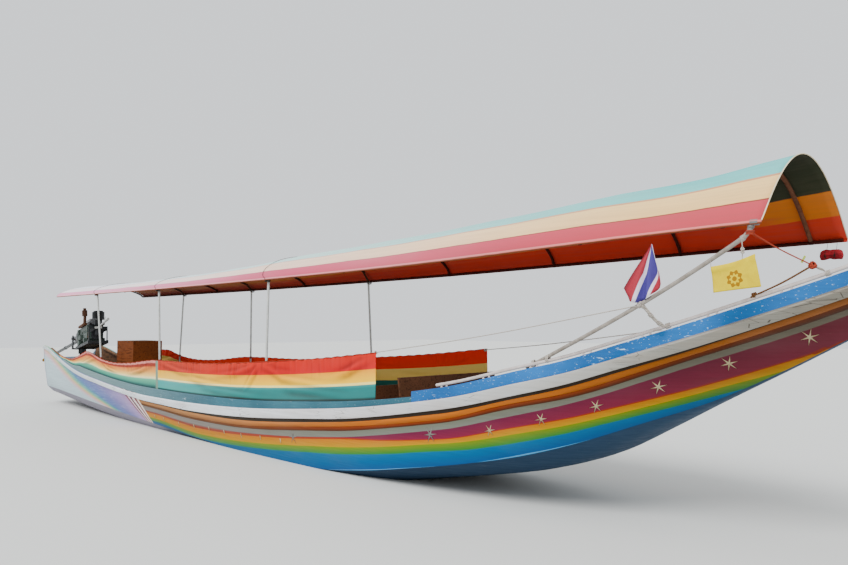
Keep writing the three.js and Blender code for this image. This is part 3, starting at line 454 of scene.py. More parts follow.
def sidePoint(x, drop, proud=0.0):
    # a point on the side's outer skin, a drop below the sheer
    top, low = (sheerOut(x), sheerAt(x)), (chineOut(x), chineAt(x))
    bulge = hull["bulge"] * min(1, low[0] / hull["fullBulgeAt"])
    middle = ((top[0] + low[0]) / 2 + 2 * bulge, (top[1] + low[1]) / 2 - bulge / 2)
    t = drop / (top[1] - low[1])
    y, z = [(1 - t) ** 2 * a + 2 * t * (1 - t) * m + t * t * b for a, m, b in zip(top, middle, low)]
    dy, dz = [2 * (1 - t) * (m - a) + 2 * t * (b - m) for a, m, b in zip(top, middle, low)]
    length = math.hypot(dy, dz)
    return y - dz / length * proud, z + dy / length * proud


def slantAt(x, drop):
    # where the stern's painted bands that pass this point start under the strake
    first, last, reach, turn = bands["slant"]
    below = min(drop - first, last)
    return (x - reach * below) / (1 - turn * below)


def sideRow(x):
    # (y, z, band, slant) down one side, with a row at every band edge
    edges = bandEdges(x)
    height = sheerAt(x) - chineAt(x)
    places = [k + part for k in range(len(edges) - 1) for part in bands["perBand"]] + [len(edges) - 1]
    places += [places[-1] + 0.5]
    row = []
    for i, place in enumerate(places):
        k = int(place)
        past = (place - k) * (edges[k + 1] - edges[k] if k + 1 < len(edges) else bands["deepBand"])
        drop = edges[k] + past
        most = height - bands["leastStep"] * (len(places) - i)
        if drop > most:
            drop = most
            place = bandFromDrop(edges, drop)
        slant = slantAt(x, drop)
        inBand = place - int(place)
        lift = bands["relief"][min(int(place), len(bands["relief"]) - 1)]
        lift *= blendAt(inBand, 0.0, 0.1) * (1 - blendAt(inBand, 0.9, 1.0))
        lift *= blendAt(slant, *bands["reliefFrom"]) * (1 - blendAt(x, *bands["reliefTo"]))
        row.append((*sidePoint(x, drop, lift), place, slant))
    row.append((*sidePoint(x, height), min(bandFromDrop(edges, height), bands["deep"]), slantAt(x, height)))
    return row


def bottomRow(x):
    # (y, z) from the chine in to the keel
    rise = chineAt(x) - keelAt(x)
    return [(chineOut(x) * part, keelAt(x) + rise * bottomShape(part)) for part in hull["bottomParts"]]


# paint of the hull: for each stretch one colour for each band and the deep one, or two where it shades downwards

sidePaint = {
    "aft": ("e6eef6 2f251b af7947-94602f 613a16 807872 7e5d55 8c3c26 bd6d0f-bb8709 728713-337e50 "
            "05527d 1f6cab 00457e"),
    "middle": ("c9bbc6 2f251b ba640d-a7570b 823000-52220a 6b6f5f-74776e 6a1b3e-811f3d a0300c c16f00-bf8f00 788a00-1f7e30 "
               "006799-004c88 4a94c8 003f74"),
    # the bow's colours are darker than the middle's: partly their own deeper tone, partly painted shade where the side
    # turns from the light
    "bow": ("807b6f 2f251b 784412-8c5018 56250b-371d0b 554f42-5d5649 571c27-641e2e 782810 995d00-a07a00 5f7109-256432 "
            "06507a-053f6d 3a80a4 133d5f"),
    "toMiddle": (-2.2, 1.6), "toBow": (2.6, 5.6), "sternFrom": -1.6, "sternEdge": 4.88,
    "stern": ((-1.6, -0.8, -0.1, 0.3, 0.6, 0.95, 1.35, 1.75, 2.2, 2.9, 3.4, 4.0, 4.36, 4.365,
               4.435, 4.44, 4.52, 4.525, 4.62, 4.625, 4.71, 4.715, 4.79, 4.795),
              "b9cdd4 cfc4cc dcaeae d8b292 c6be84 86b890 5ca69c 4a84a8 5a72b0 6a74b0 8078b2 a08cc0 b08cb8 7c1c34 "
              "7c1c34 e8d4dc e8d4dc 5c1424 5c1424 f0e2e0 f0e2e0 7a1a30 7a1a30 ead8c8"),
}


def bandStops(colours):
    stops, pairs = [], colours.split()
    for k, pair in enumerate(pairs):
        shades = pair.split("-")
        stops += [((k + 0.01) / len(pairs), shades[0]), ((k + 0.99) / len(pairs), shades[-1])]
    return stops


def makeSidePaint():
    startMaterial("bandedHullPaint")
    place = fromObject()
    x = axisOf("X", place)
    band = (fromAttribute("band") + grain((1, 1, 5), 3.5, 2).stretch(0, 1, -0.04, 0.04)) / (len(bands["names"]) + 1)
    aft, middle, bow = [ramp(band, bandStops(sidePaint[name])) for name in ("aft", "middle", "bow")]
    painted = mix(x.stretch(*sidePaint["toMiddle"]), aft, middle)
    painted = mix(x.stretch(*sidePaint["toBow"]), painted, bow)
    slant = fromAttribute("slant") + grain(place, 7, 2).stretch(0, 1, -0.03, 0.03)
    low, high = sidePaint["sternFrom"], sidePaint["sternEdge"]
    panel = ramp(slant.stretch(low, high), [((at - low) / (high - low), c) for at, c in stopsOf(sidePaint["stern"])])
    panel = mix(grain((0.8, 1, 7), 6, 4).stretch(0.5, 0.8, 0, 0.3), panel, "#c4d2d8")
    painted = mix(slant > high, panel, painted)
    streaks = grain((0.5, 1, 14), 5, 5, 0.6)
    painted = soiled(painted, streaks, 0.3, 0.8, 0.4, "#1c140c", 0.5)
    painted = mix(grain((0.6, 1, 2), 1.7, 3).stretch(0.5, 0.8, 0, 0.03), painted, "#b9b4ab")
    painted = mix(grain((1, 1, 2.5), 34, 4, 0.7).stretch(0.69, 0.73, 0, 0.7), painted, "#5b4a3b")
    height = streaks * 0.6 + grain(place, 3, 2) * 2.0
    return finishPaint(painted, streaks.stretch(0.2, 0.8, 0.32, 0.58), height, 0.004, 0.4)


def wornPaint(name, base, tint, worn, wornFrom, streak, patch=None, aft=None):
    # weathered paint over timber: a tint that wanders, streaks along the plank, and spots worn through
    startMaterial(name)
    lines = grain(streak, 6, 5, 0.62)
    colour = mix(grain(even, 1.3, 3).stretch(0.35, 0.7), base, tint)
    if aft:
        # aft holds the stern end's colour: for the coaming, faded paint darkened as painted shade under the side cloth
        faded, start, end = aft
        colour = mix(axisOf("X").stretch(start, end), faded, colour)
    colour = soiled(colour, lines, 0.3, 0.8, 0.5, "#1d1a17", 0.45)
    wear = grain((1.4, 1, 3), 26, 5, 0.68).stretch(wornFrom, wornFrom + 0.05)
    if patch:
        wear = calc("MAXIMUM", wear, grain((0.9, 1, 4), 4, 4, 0.7).stretch(patch, patch + 0.04))
    return finishPaint(mix(wear, colour, worn), lines.stretch(0.2, 0.8, 0.4, 0.7), lines - wear * 0.5, 0.003, 0.45)


def makeTimber(name, dark, light, ring=9, plank=0.0):
    # plain timber, with seams across Y when it is laid in planks
    startMaterial(name, 0.6)
    fibres = grain((0.6, 6, 6), ring, 6, 0.65, 0.4)
    colour = ramp(fibres, [(0.25, dark), (0.5, light), (0.62, dark), (0.8, light)])
    colour = soiled(colour, grain(even, 2.2, 4, 0.6), 0.4, 0.75, 0.6, "#241c15", 0.55)
    height = fibres
    if plank:
        seam = calc("FRACT", axisOf("Y") / plank) < 0.035
        colour = mix(seam, colour, "#14100c")
        height = fibres - seam * 3.0
    return finishPaint(colour, fibres.stretch(0.2, 0.8, 0.55, 0.8), height)


def makeMetal(name, base, tint, roughness=(0.3, 0.55), metallic=0.0, rust=None, rustFrom=0.62, scale=9):
    startMaterial(name, 0.4, metallic)
    blotch, fine = grain(even, scale, 5, 0.6), grain(even, scale * 9, 3, 0.6)
    colour = mix(blotch.stretch(0.3, 0.7), base, tint)
    rough = blotch.stretch(0.25, 0.75, *roughness)
    if rust:
        worn = (blotch * 0.7 + fine * 0.3).stretch(rustFrom, rustFrom + 0.06)
        colour = mix(worn, colour, rust)
        rough = calc("MAXIMUM", rough, worn * 0.85)
    return finishPaint(colour, rough, fine, 0.001, 0.35)


def makeBottomPaint():
    # blue forward, faded to a pale lilac grey towards the stern
    startMaterial("bottomPaint")
    x = axisOf("X")
    forwardness = (x + grain(even, 1.6, 4).stretch(0, 1, -0.5, 0.5)).stretch(-3.6, -2.4)
    colour = mix(forwardness, "#8f8a98", mix(x.stretch(1.0, 5.0), "#14304a", "#26405a"))
    lines = grain((0.5, 1, 12), 5, 5, 0.62)
    colour = soiled(colour, lines, 0.3, 0.8, 0.45, "#10161b", 0.5)
    colour = mix(grain((1.4, 1, 3), 22, 5, 0.68).stretch(0.66, 0.72), colour, "#4a5a60")
    return finishPaint(colour, lines.stretch(0.2, 0.8, 0.4, 0.7), lines, 0.003, 0.4)


def makeStrakePaint():
    # white rubbed to grey, brighter aft than at the bow, where the darker grey is partly painted shade; with cracks and
    # nail marks
    startMaterial("strakePaint", 0.55)
    colour = ramp(axisOf("X").stretch(-midship, midship), stopsOf((
        (0.0, 0.2, 0.32, 0.46, 0.58, 0.68, 0.76, 0.85, 1.0), "c4ced2 e0e8ec ecf4fa eaeef2 dcdadc c6c8c8 a6a49c 827d71 746f64")))
    colour = soiled(colour, grain((0.7, 1, 3), 3.2, 4, 0.6), 0.42, 0.72, 0.55, "#b09a86", 0.5)
    lines = grain((0.3, 1, 11), 5, 6, 0.66)
    colour = soiled(colour, lines, 0.34, 0.78, 0.5, "#5c5448", 0.55)
    cracks = cells((0.8, 1, 7), 4.5, 1.0, "DISTANCE_TO_EDGE") < 0.012
    split = cracks * grain(even, 2.1, 2).stretch(0.52, 0.56)
    colour = mix(split * 0.75, colour, "#3a322a")
    nails = cells((1, 1, 0.01), 1.7, 0.5, "F1") < 0.018
    colour = mix(nails * 0.6, colour, "#4a4238")
    return finishPaint(colour, lines.stretch(0.2, 0.8, 0.45, 0.75), lines - split * 1.5, 0.003, 0.45)


hullPaint = makeSidePaint()
bottomPaint = makeBottomPaint()
strakePaint = makeStrakePaint()
insideTimber = makeTimber("insidePlanks", "#3c2a1c", "#6b4a30", 7)
sternPaint = wornPaint("transomPaint", "#7f9db0", "#a8b8c8", "#6a5a4b", 0.66, (1, 0.5, 8))
boardPaint = wornPaint("washboardPaint", "#1c5c9c", "#2c76be", "#b3d6f1", 0.62, (0.5, 1, 8), 0.66)
# the coaming's aft colour is faded grey-teal paint, darkened as painted shade under the side cloth
coamingPaint = wornPaint("coamingPaint", "#2c5868", "#3c7080", "#9db4be", 0.64, (0.4, 1, 16), 0.66, ("#6f888a", -5.4, -1.2))
inwaleTimber = makeTimber("inwaleTimber", "#4b3322", "#7a583c", 8)
print("hull paints mixed")

# hull skin


def hullRing(x):
    side = sideRow(x)
    half = side + [(y, z, hull["keelBand"], x) for y, z in bottomRow(x)]
    mirrored = [(-y, z, band, slant) for y, z, band, slant in half]
    return mirrored + [(0.0, keelAt(x), hull["keelBand"], x)] + half[::-1], len(side)


def makeHullSkin():
    bm = bmesh.new()
    layers = layersFor(bm, ("band", "slant"))
    stations = stepsFrom(hull["from"], hull["to"], hull["step"])
    rows, (sideCount, *_) = zip(*[hullRing(x) for x in stations])
    grid = sweepRings(bm, [[(x, *point[:2]) for point in row] for x, row in zip(stations, rows)], False)
    writeLayers(grid, [[point[2:] for point in row] for row in rows], layers)
    deep = {v for verts in grid for v in verts[sideCount - 1:len(verts) - sideCount + 1]}
    for face in bm.faces:
        face.material_index = 1 if all(v in deep for v in face.verts) else 0
    faceOutward(bm, 2, -1)
    piece = addPiece("hullSkin", bm, [hullPaint, bottomPaint, insideTimber],
                     [n for n in cadNodes if n.startswith(("side_planking", "bottom_planking"))],
                     sharp=50, outward=False)
    giveThickness(piece, hull["wall"], -1, 2)


def makeProw():
    bm = bmesh.new()
    layers = layersFor(bm, ("band", "slant"))
    stations = stepsFrom(hull["to"] + hull["prowGap"], hull["prowTo"], hull["prowStep"])
    rings = []
    for x in stations:
        top = [(sheerOut(x) * part, sheerAt(x) + hull["crown"] * (1 - part * part), 0.0, x) for part in hull["crownParts"]]
        rings.append(hullRing(x)[0] + top)
    grid = sweepRings(bm, [[(x, *point[:2]) for point in ring] for x, ring in zip(stations, rings)])
    writeLayers(grid, [[point[2:] for point in ring] for ring in rings], layers)
    addPiece("prowTip", bm, [hullPaint], ["prow"], sharp=40)


makeHullSkin()
makeProw()
print("hull skin and prow made")

# transom board with its notch for the engine's tail

transom = {"thick": 0.035, "gap": 0.0003, "notch": [(0.30, 0.88), (0.42, 0.915), (0.492, 1.018)], "corner": (0.508, 1.070),
           "cornerDrop": 0.03, "roundness": 0.008, "roundSteps": 3, "everyRow": 4}


def makeTransom():
    bm = bmesh.new()
    side = [row[:2] for row in sideRow(0.0)][::transom["everyRow"]] + [sidePoint(0.0, sheerAt(0) - chineAt(0))]
    side = [(y, z) for y, z in side if z < transom["corner"][1] - transom["cornerDrop"]]
    outline = transom["notch"] + [transom["corner"]] + side + bottomRow(0.0)
    ring = [(-y, z) for y, z in outline] + [(0.0, keelAt(0))] + outline[::-1]
    face = bm.faces.new([bm.verts.new((-transom["gap"], y, z)) for y, z in ring])
    pushed = bmesh.ops.extrude_face_region(bm, geom=[face])["geom"]
    pushed = [v for v in pushed if isinstance(v, bmesh.types.BMVert)]
    bmesh.ops.translate(bm, verts=pushed, vec=(-transom["thick"], 0, 0))
    rim = [e for e in bm.edges if abs(e.verts[0].co.x - e.verts[1].co.x) < 1e-5]
    bmesh.ops.bevel(bm, geom=rim, offset=transom["roundness"], segments=transom["roundSteps"], profile=0.5,
                    affect="EDGES", material=-1, clamp_overlap=True)
    addPiece("transomBoard", bm, [sternPaint], ["transom"])


makeTransom()

# planks along the sheer: strake, coaming, washboard, inwale

strake = {"thick": 0.020, "gap": 0.0006, "edge": 0.006, "inner": (0.0, 0.5, 1.0), "outer": (0.98, 0.5, 0.02)}
coaming = {"thick": 0.022, "setIn": 0.003, "from": 1.30, "change": 10.87, "to": 15.9, "boardHeight": 0.100, "gap": 0.0003,
           "edge": 0.006, "wave": 0.002,
           "heights": [(1.3, .025), (1.97, .058), (2.25, .097), (3.3, .098), (4.25, .106), (5.2, .120), (6.8, .112),
                       (8.0, .095), (9.2, .078), (10.87, .052)]}
inwale = {"from": 0.35, "to": 12.6, "edge": 0.007, "drop": 0.0005, "setIn": 0.0295,
          "section": [(0, 0), (0.049, 0), (0.052, 0.034), (0.005, 0.034)]}
plankStep = 0.1
coamingHeight = curveThrough(coaming["heights"])


def roundedSection(points, radius, steps=3):
    # the outline of a plank's section with its corners rounded
    ring, count = [], len(points)
    for i in range(count):
        a, b, c = [Vector(points[j % count]) for j in (i - 1, i, i + 1)]
        reach = min(radius, (a - b).length * 0.45, (c - b).length * 0.45)
        start, end = b + (a - b).normalized() * reach, b + (c - b).normalized() * reach
        for k in range(steps + 1):
            t = k / steps
            ring.append((1 - t) ** 2 * start + 2 * t * (1 - t) * b + t * t * end)
    return ring


def strakeSection(x, side):
    depth = bandDepth[0](x)
    return ([sidePoint(x, depth * part, strake["gap"]) for part in strake["inner"]]
            + [sidePoint(x, depth * part, strake["thick"]) for part in strake["outer"]])


def sheerSection(x, side, height):
    outer, low = sheerOut(x) - coaming["setIn"], sheerAt(x) + coaming["gap"]
    outer += coaming["wave"] * noise.noise(Vector((x * 2.3, side, 4.0)))
    high, inner = sheerAt(x) + height, outer - coaming["thick"]
    return [(outer, low), (outer, high), (inner, high), (inner, low)]


def inwaleSection(x, side):
    outer, top = sheerOut(x) - inwale["setIn"], sheerAt(x) - inwale["drop"]
    return [(outer - inward, top - down) for inward, down in inwale["section"]]


def makePlank(name, side, start, end, sectionAt, edge, paint, replaced):
    bm = bmesh.new()
    sweepRings(bm, [[(x, side * p.x, p.y) for p in roundedSection(sectionAt(x, side), edge)]
                    for x in stepsFrom(start, end, plankStep)])
    addPiece(name, bm, [paint], [replaced], sharp=45)


for label, side in sides:
    title = label.title()
    makePlank("strake" + title, side, 0.0, coaming["to"], strakeSection, strake["edge"], strakePaint,
              "rub_strake_" + label)
    makePlank("coaming" + title, side, coaming["from"], coaming["change"] - coaming["gap"],
              lambda x, side: sheerSection(x, side, coamingHeight(x)), coaming["edge"], coamingPaint,
              "coaming_" + label)
    makePlank("washboard" + title, side, coaming["change"], coaming["to"],
              lambda x, side: sheerSection(x, side, coaming["boardHeight"]), coaming["edge"], boardPaint,
              "washboard_" + label)
    makePlank("inwale" + title, side, inwale["from"], inwale["to"], inwaleSection, inwale["edge"], inwaleTimber,
              "inwale_" + label)
print("planks along the sheer made")

# roof: cloth, pipes and hoops

roof = {
    "rows": [(1.5, 2.052, 2.242), (2.6, 2.055, 2.240), (3.25, 2.057, 2.240), (4.4, 2.060, 2.250), (5.5, 2.064, 2.276),
             (6.9, 2.074, 2.320), (8.35, 2.088, 2.400), (9.8, 2.106, 2.458), (11.3, 2.137, 2.535), (12.7, 2.174, 2.628),
             (13.4, 2.192, 2.668), (13.82, 2.200, 2.716), (14.08, 2.204, 2.745)],     # x, eave and ridge
    "half": 0.806, "hem": 0.001, "skirt": 0.025, "fullness": 1.4, "frontFullness": 2.2, "frontEnds": (12.0, 14.0),
    "plainHoops": [1.5, 4.4, 6.9, 9.8, 11.3, 12.7, 13.82], "legged": [3.25, 5.5, 8.35], "pipesTo": 14.054, "ridgeTo": 13.9,
    "twist": 0.014, "twistEnds": (10.5, 13.8),     # the old roof leans a little, port side up, and comes level at the front
    "across": 44, "along": 0.07, "cloth": 0.004, "sag": 0.007, "lift": 0.001, "ripple": 0.003, "slopeStep": 0.002,
    "hemArcs": [0.985, 1.0], "arcPart": 0.97, "pipe": 0.014, "pipeY": 0.806 - 0.006 - 0.0003 - 0.014, "pipeDrop": 0.010,
    "pipeStep": 0.3, "hoopGap": 0.0066, "ridgeGap": 0.0013, "lashing": (0.0025, 5, 0.0056), "hoopSteps": 28, "sides": 14,
    "edging": 0.004, "edgeSteps": 40, "edgeOut": 0.002, "sleeve": (13.82, 0.017, 0.0035), "sleeveSides": 16,
}
outerStops = (0.0, 0.46, 0.464, 0.484, 0.488, 0.706, 0.71, 0.719, 0.722, 0.958, 0.965, 0.984, 0.988, 1.0)
innerStops = (0.0, 0.475, 0.48, 0.69, 0.695, 1.0)
# the middle and aft stops are paler than the front's: partly faded cloth, partly painted glare where the roof is seen
# at a glancing angle
roofColours = {
    "front": (outerStops, "58bcbe 6cc4c0 cf946c cf946c fad08a f4c680 903c30 903c30 c24652 bc3e4a e07c78 e07c78 8a4a2c 7c4026"),
    "middle": (outerStops, "b4dcd8 bcdcd6 d8b4a8 d8b4a8 f4d4bc f0cab6 a85864 a85864 cc5470 c64c68 e48a94 e48a94 8a4a2c 7c4026"),
    "aft": (outerStops, "e6eaf2 e6eaf2 d9c6cc d9c6cc efe6ea efe6ea c79aa8 c79aa8 e49cbc e094b4 efb4c0 efb4c0 8a4a2c 7c4026"),
    # the inside stops are the outside's stripes as they look from beneath: painted shade, dark green over the ridge and
    # darkest aft, and painted light through the cloth in the orange and red
    "frontInside": (innerStops, "2a3022 363e2a ee8628 e27c20 dc3c26 cc3220"),
    "middleInside": ((0.0, 0.475, 0.48, 0.62, 0.625, 1.0), "2a3022 363e2a ee8628 e27c20 e03826 d43220"),
    "aftInside": (innerStops, "1b2016 252c1f 8a4a20 8a4a20 7a2c1e 7a2c1e"),
}
roofFrom, roofTo = roof["rows"][0][0], roof["rows"][-1][0]
hoopInset = roof["hoopGap"] + roof["pipe"]
eaveAt, ridgeAt = curveThrough(roof["rows"], 1), curveThrough(roof["rows"], 2)


def fullnessAt(x):
    return roof["fullness"] + (roof["frontFullness"] - roof["fullness"]) * blendAt(x, *roof["frontEnds"])


def twistAt(x):
    return roof["twist"] * (1 - blendAt(x, *roof["twistEnds"]))


def pipePoint(x, side, drop=roof["pipeDrop"]):
    # on the centre line of one eave pipe, or a drop below the eave there
    return Vector((x, side * roof["pipeY"], eaveAt(x) + side * twistAt(x) - drop))


def roofPoint(x, turn, inset=0.0):
    # turn runs from -1 at the starboard hem over the ridge to 1 at the port hem
    angle = turn * math.pi / 2
    rise = ridgeAt(x) - eaveAt(x)

    def arch(a):
        return roof["half"] * math.sin(a), rise * max(math.cos(a), 0.0) ** fullnessAt(x)

    y, z = arch(angle)
    z += eaveAt(x) + twistAt(x) * math.sin(angle)
    if inset:
        a, b = arch(max(-math.pi / 2, angle - roof["slopeStep"])), arch(min(math.pi / 2, angle + roof["slopeStep"]))
        dy, dz = b[0] - a[0], b[1] - a[1]
        length = math.hypot(dy, dz)
        y, z = y + dz / length * inset, z - dy / length * inset
    return y, z


def archOver(x, skip):
    # the hoop's centre line without a few points at each end
    steps = roof["hoopSteps"]
    return [(x, *roofPoint(x, -1 + 2 * k / steps, hoopInset)) for k in range(skip, steps + 1 - skip)]


def makeClothFinish(name, stops, attribute="arc", weave=260, roughness=0.75, fold=0.5, later=(), stained=0.3,
                    bleached=0.0, streaked=0.0, shade=None):
    # later holds (from, to, stops): stripes that take over along the boat
    startMaterial(name, roughness)
    place = fromObject()
    height = fromAttribute(attribute) + grain(place, 9, 2).stretch(0, 1, -0.004, 0.004)
    colour = ramp(height, stops)
    for start, end, others in later:
        colour = mix(axisOf("X", place).stretch(start - midship, end - midship), colour, ramp(height, others))
    colour = soiled(colour, grain((0.5, 1, 1), 2.6, 5, 0.62), 0.3, 0.75, stained, "#6d665c", 0.5)
    colour = mix(grain((0.35, 1, 1), 1.1, 3).stretch(0.45, 0.75, 0, bleached), colour, "#e9e2d8")
    if streaked:
        colour = soiled(colour, grain((0.25, 8, 8), 4, 4, 0.6), 0.4, 0.75, streaked, "#6a5e54", 0.4)
    # painted shade: the colour darkens towards a deep red-brown where the shade layer is high
    if shade:
        colour = mix(fromAttribute(shade) * 0.7, colour, mix(0.7, colour, "#401814"))
    threads, others = [addNode("ShaderNodeTexWave", "Fac", {"Vector": place, "Scale": weave, "Distortion": 0.0},
                               bands_direction=way) for way in "XZ"]
    return finishPaint(colour, None, (threads + others) * 0.15 + grain(even, 12, 4, 0.6, 0.6) * (fold * 4))


def makeRopeFinish(name, colour, shade, pitch=0.02):
    # three strands laid up, read off the tube's own length and turn
    startMaterial(name, 0.85)
    turns = fromAttribute("around") * 3.0 + fromAttribute("along") / pitch
    strand = calc("ABSOLUTE", calc("FRACT", turns) - 0.5)
    fuzz = grain(even, 60, 4, 0.6)
    painted = mix(strand.stretch(0.25, 0.5), colour, shade)
    painted = mix(fuzz.stretch(0.4, 0.8, 0, 0.4), painted, shade)
    return finishPaint(painted, None, strand + fuzz * 0.5, 0.002, 0.6)


roofStops = {name: stopsOf(row) for name, row in roofColours.items()}
roofOutside = makeClothFinish("roofClothOutside", roofStops["aft"], stained=0.16, bleached=0.10, streaked=0.35,
                              later=[(3.2, 8.6, roofStops["middle"]), (9.0, 13.2, roofStops["front"])])
roofInside = makeClothFinish("roofClothInside", roofStops["aftInside"], fold=0.3, stained=0.25, streaked=0.4,
                             later=[(3.6, 12.0, roofStops["middleInside"]), (13.2, 13.7, roofStops["frontInside"])])
darkPipe = makeMetal("darkPipePaint", "#4a1c14", "#381610", (0.45, 0.7), 0.0, "#6a3a24", 0.62, 12)
hoopPipe = makeMetal("hoopPipePaint", "#4c2c1c", "#3a2418", (0.45, 0.7), 0.0, "#6a3a24", 0.62, 12)
paleTube = makeMetal("paleTubePaint", "#c9c9c4", "#aeb0ae", (0.3, 0.55), 0.25, "#7d6a58", 0.64, 14)


def makeRoofCloth():
    bm = bmesh.new()
    layers = layersFor(bm, ("arc",))
    hoops = sorted(roof["plainHoops"] + roof["legged"])
    stations = stepsFrom(roofFrom, roofTo, roof["along"])
    turns = [-1 + 2 * k / roof["across"] for k in range(roof["across"] + 1)]
    rings, values = [], []
    for x in stations:
        bay = max(i for i in range(len(hoops) - 1) if hoops[i] <= x + 1e-9)
        hang = math.sin(math.pi * max(0, min(1, (x - hoops[bay]) / (hoops[bay + 1] - hoops[bay]))))
        ring = []
        for turn in turns:
            sag = roof["sag"] * hang ** 0.8 * (1 - abs(turn) ** 3)
            ripple = roof["ripple"] * noise.noise(Vector((x * 2.6, turn * 2.2, 1.7))) * hang
            ring.append((x, *roofPoint(x, turn, sag + roof["lift"] - ripple)))
        low, high = [[(x, side * (roof["half"] - roof["hem"]), eaveAt(x) + side * twistAt(x) - roof["skirt"] * part)
                      for part in parts] for side, parts in ((-1, (1.0, 0.5)), (1, (0.5, 1.0)))]
        rings.append(low + ring + high)
        level = fullnessAt(x) / roof["fullness"]     # the stripes keep their heights where the section changes
        arcs = [math.acos(max(0.0, math.cos(turn * math.pi / 2)) ** level) * 2 / math.pi * roof["arcPart"] for turn in turns]
        values.append([(arc,) for arc in roof["hemArcs"][::-1] + arcs + roof["hemArcs"]])
    writeLayers(sweepRings(bm, rings, False), values, layers)
    faceOutward(bm, 2, 1)
    area = sheetArea(bm)
    piece = addPiece("roofCloth", bm, [roofOutside, roofInside], ["canopy"], sharp=70, outward=False)
    giveThickness(piece, roof["cloth"], -1, 1)
    length = stations[-1] - stations[0]
    area / length


def wrapCord(bm, layers, wrap, centre, axis, around, across=1.0):
    # a cord wound round a pipe or a bundle; wrap holds its radius, turns and pitch
    cord, turns, pitch = wrap
    axis = Vector(axis).normalized()
    one = axis.cross(Vector((0, 0, 1)) if abs(axis.z) < 0.9 else Vector((0, 1, 0))).normalized()
    two, perTurn = axis.cross(one), 12
    path = []
    for k in range(int(turns * perTurn) + 1):
        angle = 2 * math.pi * k / perTurn
        spoke = (one * math.cos(angle) * across + two * math.sin(angle)) * (around + cord * 0.8)
        path.append(Vector(centre) + axis * (pitch * (k / perTurn - turns / 2)) + spoke)
    drawTube(bm, path, cord, 6, layers)


def makeRoofPipes():
    bm = bmesh.new()
    stations = stepsFrom(roofFrom, roof["pipesTo"], roof["pipeStep"])
    ridgeDrop = hoopInset + 2 * roof["pipe"] + roof["ridgeGap"]
    paths = [[pipePoint(x, side) for x in stations] for side in (-1, 1)]
    paths.append([(x, 0, ridgeAt(x) - ridgeDrop) for x in stations if x < roof["ridgeTo"]])
    paths += [[pipePoint(x, -1), *archOver(x, 3), pipePoint(x, 1)] for x in roof["plainHoops"]]
    for path in paths:
        drawTube(bm, path, roof["pipe"], roof["sides"])
    for x in roof["plainHoops"][1:]:
        for side in (-1, 1):     # lashing where hoop and pipe meet
            wrapCord(bm, None, roof["lashing"], pipePoint(x, side), (1, 0, 0), roof["pipe"])
    addPiece("roofPipes", bm, [darkPipe], ["canopy_rack"], sharp=40)


legs = {"forward": 0.07, "foot": 0.0003, "inside": 0.026, "below": 0.012, "brownFrom": 0.01,
        "flange": (0.026, 0.016, 0.012), "flangeLift": 0.0065}
legTop = roof["pipeY"] - 2 * roof["pipe"] - 0.0005


def coamingInside(x):
    return sheerOut(x) - coaming["setIn"] - coaming["thick"]


def legFoot(x):
    return coamingInside(x) - legs["inside"] - roof["pipe"]


def makeFrameTubes(index, x):
    # pale legs, and a brown hoop above the eaves
    bm = bmesh.new()
    foot = max(sheerAt(x), sheerAt(x + legs["forward"])) + legs["foot"]
    ends, feet = [], {-1: x, 1: x + legs["forward"]}
    for side in (-1, 1):
        low = Vector((feet[side], side * legFoot(x), foot))
        high = Vector((x, side * legTop, eaveAt(x) + side * twistAt(x) - legs["below"]))
        ends.append([low, (low + high) / 2, high])
    drawTube(bm, ends[0] + archOver(x, 5) + ends[1][::-1], roof["pipe"], roof["sides"])
    for face in bm.faces:
        if face.calc_center_median().z > eaveAt(x) - legs["brownFrom"]:
            face.material_index = 1
    for low, _, _ in ends:
        addCone(bm, *legs["flange"], low + Vector((0, 0, legs["flangeLift"])), 20)
    addPiece("frameTubes%d" % index, bm, [paleTube, hoopPipe], ["canopy_frame_%d" % index], sharp=50)


def makeRoofEdging():
    # the bound front edge of the roof cloth, and the sleeve sewn round the front hoop
    bm = bmesh.new()
    turns = [-1 + 2 * k / roof["edgeSteps"] for k in range(roof["edgeSteps"] + 1)]
    path = [(roofTo + roof["edgeOut"], *roofPoint(roofTo, turn, roof["edgeOut"])) for turn in turns]
    drawTube(bm, path, roof["edging"], 8)
    addPiece("roofEdging", bm, [makeMetal("edgingTape", "#e6dcc0", "#d2c4a0", (0.7, 0.9))], sharp=60)
    bm = bmesh.new()
    x, half, fat = roof["sleeve"]
    angles = [2 * math.pi * k / roof["sleeveSides"] for k in range(roof["sleeveSides"])]
    rings = []
    for turn in turns[3:-3]:
        centre = Vector((x, *roofPoint(x, turn, hoopInset)))
        outward = (centre - Vector((x, *roofPoint(x, turn, hoopInset + 0.01)))).normalized()
        ring = [outward * ((roof["pipe"] + fat) * math.sin(a)) + Vector((half * math.cos(a), 0, 0)) for a in angles]
        rings.append([centre + spoke for spoke in ring])
    sweepRings(bm, rings)
    addPiece("hoopSleeve", bm, [makeMetal("sleeveCloth", "#7c5440", "#64402e", (0.8, 0.95), scale=20)], sharp=60)


makeRoofPipes()
for index, x in enumerate(roof["legged"], 1):
    makeFrameTubes(index, x)
makeRoofCloth()
makeRoofEdging()
print("roof made")

# rails and the slanting tube at the bow

